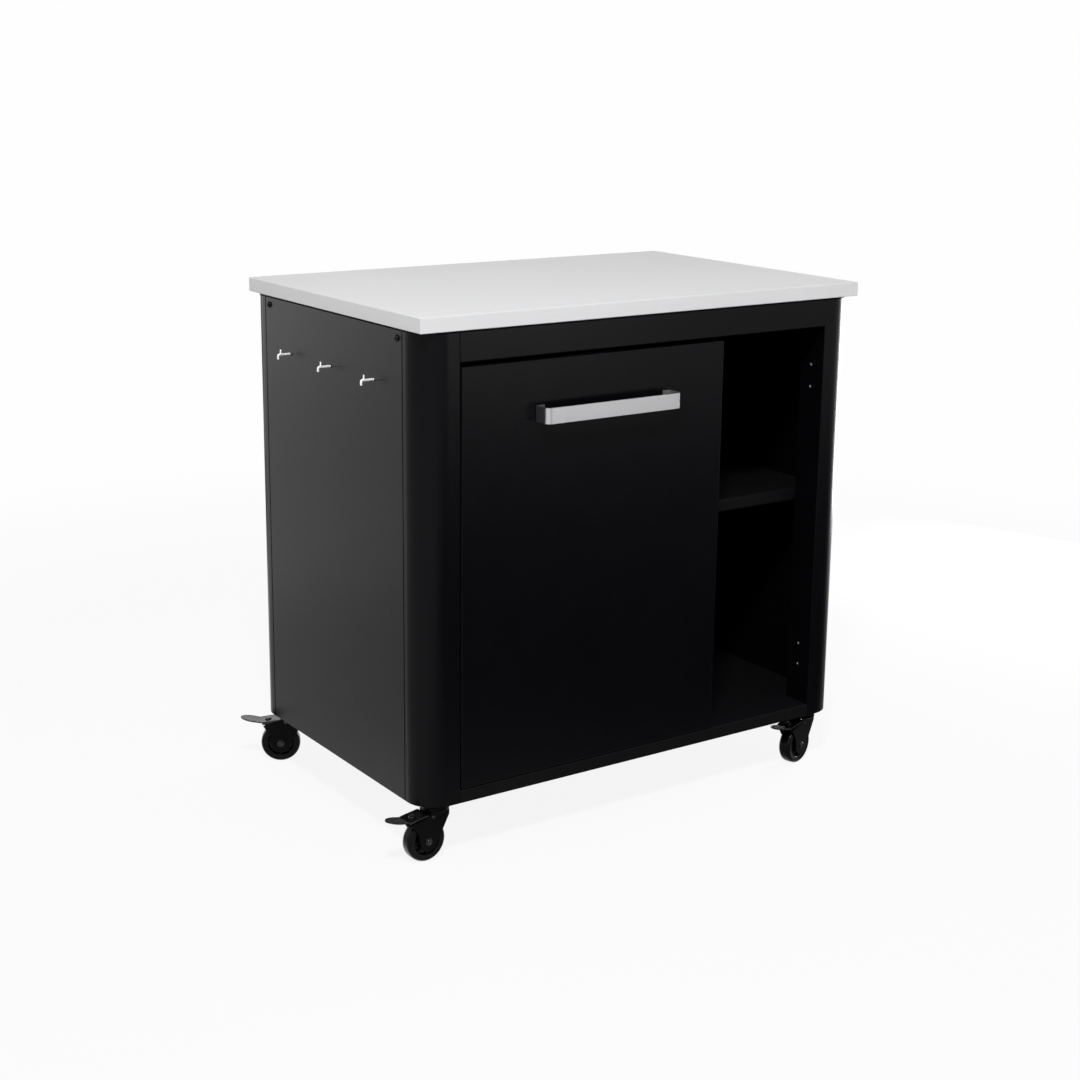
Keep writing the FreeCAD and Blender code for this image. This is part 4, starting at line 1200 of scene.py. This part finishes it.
@dataclass
class Caster:
    """One swivel caster with its brake. Its pieces are drawn with the trail along +X.

    The cuts across the lever's sheet are in millimetres: the first, the end and the step.
    """
    frame: dict[str, Any]
    corner: str
    place: Matrix = field(init=False)
    trail: float = field(init=False)
    wheel_radius: float = field(init=False)
    tyre_half: float = 12 * MM
    tyre_seat: float = 1.0 * MM
    hub_radius: float = 27 * MM
    hub_bore: float = 4.06 * MM
    hub_gap: float = 1.2 * MM
    hub_seat: float = 0.8 * MM
    hub_round: float = 0.25 * MM
    ribs: int = 8
    rib_size: tuple[float, float, float] = (15.5 * MM, 1.8 * MM, 4.6 * MM)
    rib_radius: float = 16.2 * MM
    rib_inset: float = 4.0 * MM
    cheek_inner: float = 13.2 * MM
    cheek_outer: float = 15.7 * MM
    cheek_boss: float = 17 * MM
    axle_radius: float = 4 * MM
    crown_radius: float = 23 * MM
    crown_bottom: float = 84 * MM
    crown_top: float = 95.2 * MM
    crown_bore: float = 6.06 * MM
    fork_round: float = 0.6 * MM
    race_radius: float = 20 * MM
    race_rim: float = 1.2 * MM
    race_edge: float = 2.4 * MM
    race_gap: float = 0.3 * MM
    stem_radius: float = 6 * MM
    nut_radius: float = 7.4 * MM
    nut_edge: float = 79.8 * MM
    mount_height: float = 100.5 * MM
    pin_x: float = 14 * MM
    pin_z: float = 77.6 * MM
    lever_sheet: float = 2.2 * MM
    lever_rim: float = 1.5 * MM
    lever_dish: float = 0.7 * MM
    lever_cuts: tuple[int, int, int] = (28, 96, 4)
    lever_round: float = 0.7 * MM
    knee: float = 60 * MM
    knee_z: float = 78.6 * MM
    cover_fall: float = 5.0 / 36.0
    leaf_rise: float = 7.0 / 36.5
    grip_width: float = 1.5 * MM
    grip_height: float = 1.2 * MM
    grip_sink: float = 0.5 * MM
    web_half: float = 12.7 * MM
    web_round: float = 3.2 * MM
    skirt_inner: float = 11.2 * MM
    skirt_sheet: float = 1.4 * MM
    shoe_half: float = 9 * MM
    boss_x: float = 46 * MM

    def __post_init__(self) -> None:
        """Find the swivel axis, the trail and the heading from the frame's joints."""
        joints = {joint["name"]: joint for joint in self.frame["joints"]}
        swivel = Vector(joints["swivel_" + self.corner]["pos_m"])
        axle = Vector(joints["wheel_spin_" + self.corner]["pos_m"])
        reach = Vector((axle.x - swivel.x, axle.y - swivel.y))
        self.trail = reach.length
        self.wheel_radius = axle.z
        turn = Matrix.Rotation(math.atan2(reach.y, reach.x), 4, "Z")
        self.place = Matrix.Translation((swivel.x, swivel.y, 0.0)) @ turn

    def put(self, mesh: bmesh.types.BMesh, name: str, finish: Finish, body: str,
            edge_round: float = 0.0) -> bpy.types.Object:
        """Move a caster shape to its corner and make it a piece."""
        bmesh.ops.transform(mesh, matrix=self.place, verts=mesh.verts[:])
        return piece_from(mesh, name + "_" + self.corner, finish, body, edge_round=edge_round)

    def across(self, x: float, z: float) -> Matrix:
        """Place of an axis that runs across the caster."""
        return axis_place(Vector((x, 0, z)), Vector((0, 1, 0)))

    def stem(self) -> bpy.types.Object:
        """Make the upper race with its rolled edge and the bolt through the fork.

        Returns:
            The piece, which stands for this corner's part of the stems.
        """
        bottom = self.crown_top + self.race_gap
        below = self.crown_bottom - self.race_gap
        edge = self.race_edge
        race = [(0.0, self.mount_height), (self.race_radius - self.race_rim, self.mount_height)]
        race += arc((self.race_radius - edge, bottom + edge), edge, start=50, end=-90, steps=8)
        race += [(self.stem_radius, bottom), (self.stem_radius, below), (self.nut_radius, below)]
        race += [(self.nut_radius, self.nut_edge), *in_mm((6.6, 79.5), (0.0, 79.5))]
        return self.put(turned(race, Matrix(), steps=48), "caster_race", CASTER_COAT, "cabinet")

    def fork(self) -> None:
        """Make the crown and the two cheeks, and then the axle."""
        bore = self.crown_bore
        bottom = self.crown_bottom
        rim = self.crown_radius
        top = self.crown_top
        crown = [(bore, bottom), *in_mm((-1.5, 0.0), (0.0, 1.5), start=(rim, bottom)),
                 *in_mm((0.0, -4.0), (-0.8, -2.0), (-2.6, -0.6), (-4.5, 0.0), start=(rim, top)),
                 (bore, top), (bore, bottom)]
        shapes = [turned(crown, Matrix(), steps=64)]
        outline = in_mm((-17, 85), (-17, 76), (8.2, 28.5))
        outline += arc((self.trail, self.wheel_radius), self.cheek_boss, start=206, end=334, steps=14)
        outline += in_mm((42.5, 52), (55, 71), (20.5, 80.4), (20.5, 85))
        for side in (-1, 1):
            width = side * (self.cheek_outer - self.cheek_inner)
            shapes.append(standing_plate(outline, side * self.cheek_inner, width))
        body = "caster_fork_" + self.corner
        fork = self.put(joined(shapes), "caster_fork_plate", CASTER_COAT, body, edge_round=self.fork_round)
        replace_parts(fork, body)
        self.axle()

    def axle(self) -> None:
        """Make the axle with a washer and a ring-shaped rivet head on each cheek, and the brake's pin."""
        reach = self.cheek_outer
        head = in_mm((0.0, 2.0), (2.2, 2.0), (2.8, 2.9), (3.9, 2.9), (4.6, 2.2), (4.8, 0.9), (6.3, 0.9),
                     (6.5, 0.6), (6.5, 0.0), (0.0, 0.0))
        shapes = []
        for side in (-1, 1):
            point = Vector((self.trail, side * reach, self.wheel_radius))
            shapes.append(turned(head, axis_place(point, Vector((0, side, 0))), steps=36))
        bar = mirrored([(0.0, -reach), (self.axle_radius, -reach)])
        shapes.append(turned(bar, self.across(self.trail, self.wheel_radius), steps=24))
        pin = mirrored(in_mm((0.0, -0.8), (2.6, -0.8), (3.2, 0.0), (2.0, 0.0), start=(0.0, -reach)))
        shapes.append(turned(pin, self.across(self.pin_x, self.pin_z), steps=24))
        self.put(joined(shapes), "caster_axle", AXLE_STEEL, "caster_fork_" + self.corner)

    def wheel(self) -> None:
        """Make the tyre with round shoulders and the dished hub with its ribs."""
        half = self.tyre_half
        rim = self.wheel_radius
        seat = self.hub_radius
        body = "caster_wheel_" + self.corner
        along = self.across(self.trail, rim)
        tread = [(seat, -half + self.tyre_seat)]
        tread += in_mm((-5.0, 0.0), (-3.2, 0.5), (-1.2, 2.6), (-0.3, 5.0), (0.0, 7.5), start=(rim, -half))
        tread = mirrored(tread)
        tyre = self.put(turned(tread + tread[:1], along, steps=96), "caster_tyre", TYRE_RUBBER, body)
        boss = self.cheek_inner - self.hub_gap
        hub = [(self.hub_bore, -boss), *in_mm((8.0, 0.0), (8.6, 0.6), start=(0.0, -boss))]
        hub += in_mm((9.2, 5.0), (12, 6.0), (21.5, 6.0), (23.4, 4.6), (24.0, 1.4), (24.6, 0.8),
                     start=(0.0, -half))
        hub = mirrored(hub + [(seat, -half + self.hub_seat)])
        shapes = [turned(hub + hub[:1], along, steps=72)]
        for side in (-1, 1):
            for index in range(self.ribs):
                turn = Matrix.Rotation(index * 2 * math.pi / self.ribs, 4, "Z")
                offset = Matrix.Translation((self.rib_radius, 0, side * (half - self.rib_inset)))
                shapes.append(block(along @ turn @ offset, self.rib_size))
        self.put(joined(shapes), "caster_hub", HUB_PLASTIC, body, edge_round=self.hub_round)
        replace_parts(tyre, body)

    def lever_height(self, x: float) -> float:
        """Tell how high the lever's upper face is, which falls along the cover and rises along the leaf.

        Args:
            x: Place along the lever.

        Returns:
            The height above the ground.
        """
        if x < self.knee:
            return self.knee_z + (self.knee - x) * self.cover_fall
        return self.knee_z + (x - self.knee) * self.leaf_rise

    def leaf(self) -> bmesh.types.BMesh:
        """Make the lever's sheet, with its dished top and its rising leaf-shaped pedal.

        Returns:
            A closed bmesh of the sheet.
        """
        half = in_mm((24.0, 16.5), (55.0, 16.5), (58.0, 16.0), (61.5, 14.7), (66.0, 14.8), (72.0, 15.6),
                     (78.0, 15.4), (83.0, 14.2), (87.5, 12.2), (91.0, 9.6), (94.0, 6.4), (95.7, 3.4),
                     (96.3, 1.0))
        sheet = self.lever_sheet
        mesh = flat_plate(mirrored(half), lambda x, y: Vector((x, y, -sheet)), Vector((0, 0, sheet)))
        upper = [face for face in mesh.faces if face.calc_center_median().z > -SAME_PLACE]
        bmesh.ops.inset_region(mesh, faces=upper, thickness=self.lever_rim, depth=-self.lever_dish,
                               use_even_offset=True)
        for x in range(*self.lever_cuts):
            bmesh.ops.bisect_plane(mesh, geom=mesh.verts[:] + mesh.edges[:] + mesh.faces[:],
                                   plane_co=(x * MM, 0, 0), plane_no=(1, 0, 0))
        for vert in mesh.verts:
            vert.co.z += self.lever_height(vert.co.x)
        return mesh

    def grips(self) -> list[bmesh.types.BMesh]:
        """Make the grip bars across the pedal.

        Returns:
            A closed bmesh for each bar.
        """
        lean = Matrix.Rotation(-math.atan(self.leaf_rise), 4, "Y")
        bars = []
        for x, reach in in_mm((70, 11.6), (75, 12.0), (80, 11.4), (85, 9.8), (90, 6.8)):
            middle = Vector((x, 0, self.lever_height(x) - self.grip_sink))
            size = (self.grip_width, 2 * reach, self.grip_height)
            bars.append(block(Matrix.Translation(middle) @ lean, size))
        return bars

    def brake(self) -> None:
        """Make the brake lever with its pedal, barrel, sloping cover, skirts, round boss and shoe."""
        barrel = mirrored(in_mm((2.06, -12.8), (3.2, -12.8), (3.6, -12.4)))
        web = in_mm((40.0, 78.4), (40.0, 81.0), (26.2, 82.5))
        web += arc((self.pin_x, self.pin_z), self.web_round, start=72, end=-38, steps=8)
        skirt = in_mm((28.0, 81.8), (57.0, 77.8), (57.0, 72.6), (50.0, 71.8), (44.0, 73.0), (36.0, 76.6),
                      (28.0, 79.6))
        boss = in_mm((0.0, 77), (6.0, 77), (6.0, 81.2), (5.4, 82.1), (4.0, 82.6), (0.0, 82.8))
        shoe = in_mm((32.0, 75.3), (38.0, 73.5), (44.0, 70.5), (44.0, 78.6), (32.0, 80.0))
        shapes = [self.leaf(), *self.grips()]
        shapes.append(turned(barrel + barrel[:1], self.across(self.pin_x, self.pin_z), steps=32))
        shapes.append(standing_plate(web, -self.web_half, 2 * self.web_half))
        for side in (-1, 1):
            shapes.append(standing_plate(skirt, side * self.skirt_inner, side * self.skirt_sheet))
        shapes.append(turned(boss, Matrix.Translation((self.boss_x, 0, 0)), steps=32))
        shapes.append(standing_plate(shoe, -self.shoe_half, 2 * self.shoe_half))
        body = "caster_brake_" + self.corner
        whole = joined(shapes)
        lever = self.put(whole, "caster_brake_lever", BRAKE_PLASTIC, body, edge_round=self.lever_round)
        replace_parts(lever, body)

    def build(self) -> bpy.types.Object:
        """Make every piece of the caster.

        Returns:
            The race, which stands for this corner's part of the stems.
        """
        race = self.stem()
        self.fork()
        self.wheel()
        self.brake()
        return race


# Studio

@dataclass(frozen=True)
class Lamp:
    """Soft rectangular lamp: its place, the point that it looks at, its width and height, and its watts."""
    name: str
    spot: tuple[float, float, float]
    aim: tuple[float, float, float]
    size: tuple[float, float]
    power: float

    def hang(self) -> None:
        """Put the lamp in the scene, unseen by straight rays."""
        data = bpy.data.lights.new(self.name, "AREA")
        data.shape = "RECTANGLE"
        data.size, data.size_y = self.size
        data.energy = self.power
        lamp = bpy.data.objects.new(self.name, data)
        spot = Vector(self.spot)
        lamp.matrix_world = axis_place(spot, spot - Vector(self.aim))
        lamp.visible_camera = False
        bpy.context.scene.collection.objects.link(lamp)


@dataclass
class Studio:
    """Plain pale floor with its dark flags, soft light and the camera."""
    place: tuple[float, float, float] = (-1.83605, -2.66140, 1.29530)
    heading: float = 34.3823
    pitch: float = -13.7058
    roll: float = 0.60825
    lens: float = 61.548
    sensor: float = 36.0
    shift: tuple[float, float] = (0.00306, -0.03868)
    nearest: float = 0.05
    white: tuple[float, float, float, float] = (0.99, 0.99, 0.99, 1.0)
    world_level: float = 0.35
    floor_half: float = 12.0
    paper: tuple[Colour, Colour] = ((0.79, 0.79, 0.79), (0.82, 0.82, 0.82))
    paper_grain: Grain = Grain(0.4)
    paper_roughness: float = 0.9
    near_share: float = 0.90
    fade_from: float = 1.3
    fade_to: float = 2.8
    dark: tuple[float, float, float, float] = (0.05, 0.05, 0.05, 1.0)
    flags: tuple[Flag, ...] = (Flag((1.1, -1.9), 1.3, 2.6), Flag((0.2, 2.5), 0.6, 1.5),
                               Flag((0.6, 5.6), 1.4, 2.6), Flag((-0.85, 0.65), 0.25, 1.0, 0.66))
    lamps: tuple[Lamp, ...] = (
        Lamp("key_front_left", (-1.76, -2.40, 3.87), (0.25, -0.2, 0.5), (0.5, 0.5), 148.0),
        Lamp("left_back", (-2.4, 4.2, 0.8), (-0.42, 0.0, 0.5), (3.0, 1.6), 9.0),
        Lamp("front_low", (2.0, -4.1, 0.32), (-0.1, -0.3, 0.87), (1.2, 0.45), 6.0),
        Lamp("right_low", (2.2, 0.3, 0.45), (0.43, -0.25, 0.45), (1.0, 0.8), 28.0))

    def camera(self) -> None:
        """Set the camera at the photograph's viewing angle."""
        yaw = math.radians(self.heading)
        tilt = math.radians(self.pitch)
        lean = math.radians(self.roll)
        ahead = Vector((math.sin(yaw) * math.cos(tilt), math.cos(yaw) * math.cos(tilt), math.sin(tilt)))
        right = Vector((math.cos(yaw), -math.sin(yaw), 0.0))
        up = right.cross(ahead)
        across = math.cos(lean) * right + math.sin(lean) * up
        above = math.cos(lean) * up - math.sin(lean) * right
        data = bpy.data.cameras.new("camera")
        data.lens = self.lens
        data.sensor_width = self.sensor
        data.sensor_fit = "HORIZONTAL"
        data.shift_x, data.shift_y = self.shift
        data.clip_start = self.nearest
        camera = bpy.data.objects.new("camera", data)
        axes = Matrix((across, above, -ahead)).transposed().to_4x4()
        camera.matrix_world = Matrix.Translation(self.place) @ axes
        bpy.context.scene.collection.objects.link(camera)
        bpy.context.scene.camera = camera

    def background(self) -> None:
        """Make the world white where it is seen or mirrored, and soft grey as light."""
        world = bpy.data.worlds.new("studio")
        bpy.context.scene.world = world
        world.use_nodes = True
        graph = Graph(world.node_tree)
        seen = graph.node("ShaderNodeBackground", None, {"Color": self.white})
        lit = graph.node("ShaderNodeBackground", None, {"Color": self.white, "Strength": self.world_level})
        graph.show("ShaderNodeOutputWorld", graph.mixed(graph.background_share(), lit, seen))

    def floor(self) -> None:
        """Lay the floor, which is seen nearly white, keeps the cart's shadow and fades to the background."""
        mesh = bmesh.new()
        bmesh.ops.create_grid(mesh, x_segments=1, y_segments=1, size=self.floor_half)
        data = bpy.data.meshes.new("studio_floor")
        mesh.to_mesh(data)
        mesh.free()
        floor = bpy.data.objects.new("studio_floor", data)
        bpy.context.scene.collection.objects.link(floor)
        graph = Surface("studio_floor_paper")
        mottle = graph.blend(graph.noise(self.paper_grain), *self.paper)
        graph.dress({"Base Color": mottle, "Roughness": self.paper_roughness, "Specular IOR Level": 0.0})
        white = graph.node("ShaderNodeEmission", None, {"Color": self.white})
        dim = graph.node("ShaderNodeEmission", None, {"Color": self.dark})
        clear = graph.combined_flags(self.flags)
        straight = graph.node("ShaderNodeLightPath", output="Is Camera Ray")
        others = (straight.beside("Is Glossy Ray") + straight.beside("Is Transmission Ray")).clamped()
        near = graph.fade((0.0, 0.0), self.fade_from, self.fade_to, self.near_share)
        seen = graph.mixed(straight * near, graph.shader, white)
        graph.show("ShaderNodeOutputMaterial", graph.mixed(others, seen, graph.mixed(clear, dim, white)))
        data.materials.append(graph.material)

    def build(self) -> None:
        """Set up the whole studio."""
        bpy.context.scene.view_settings.view_transform = "Standard"
        self.camera()
        self.background()
        self.floor()
        for lamp in self.lamps:
            lamp.hang()


def main() -> None:
    """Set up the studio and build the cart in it."""
    logging.basicConfig(level=logging.INFO, format="%(message)s")
    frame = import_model()
    Studio().build()
    Worktop(frame).build()
    corners = ("front_left", "front_right", "rear_left", "rear_right")
    for corner in corners:
        Column(corner).build()
    CabinetShell(frame).build()
    ToolPegs().build()
    PullOut(frame).build()
    races = [Caster(frame, corner).build() for corner in corners]
    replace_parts(races[0], "caster_stems")


if __name__ == "__main__":
    main()
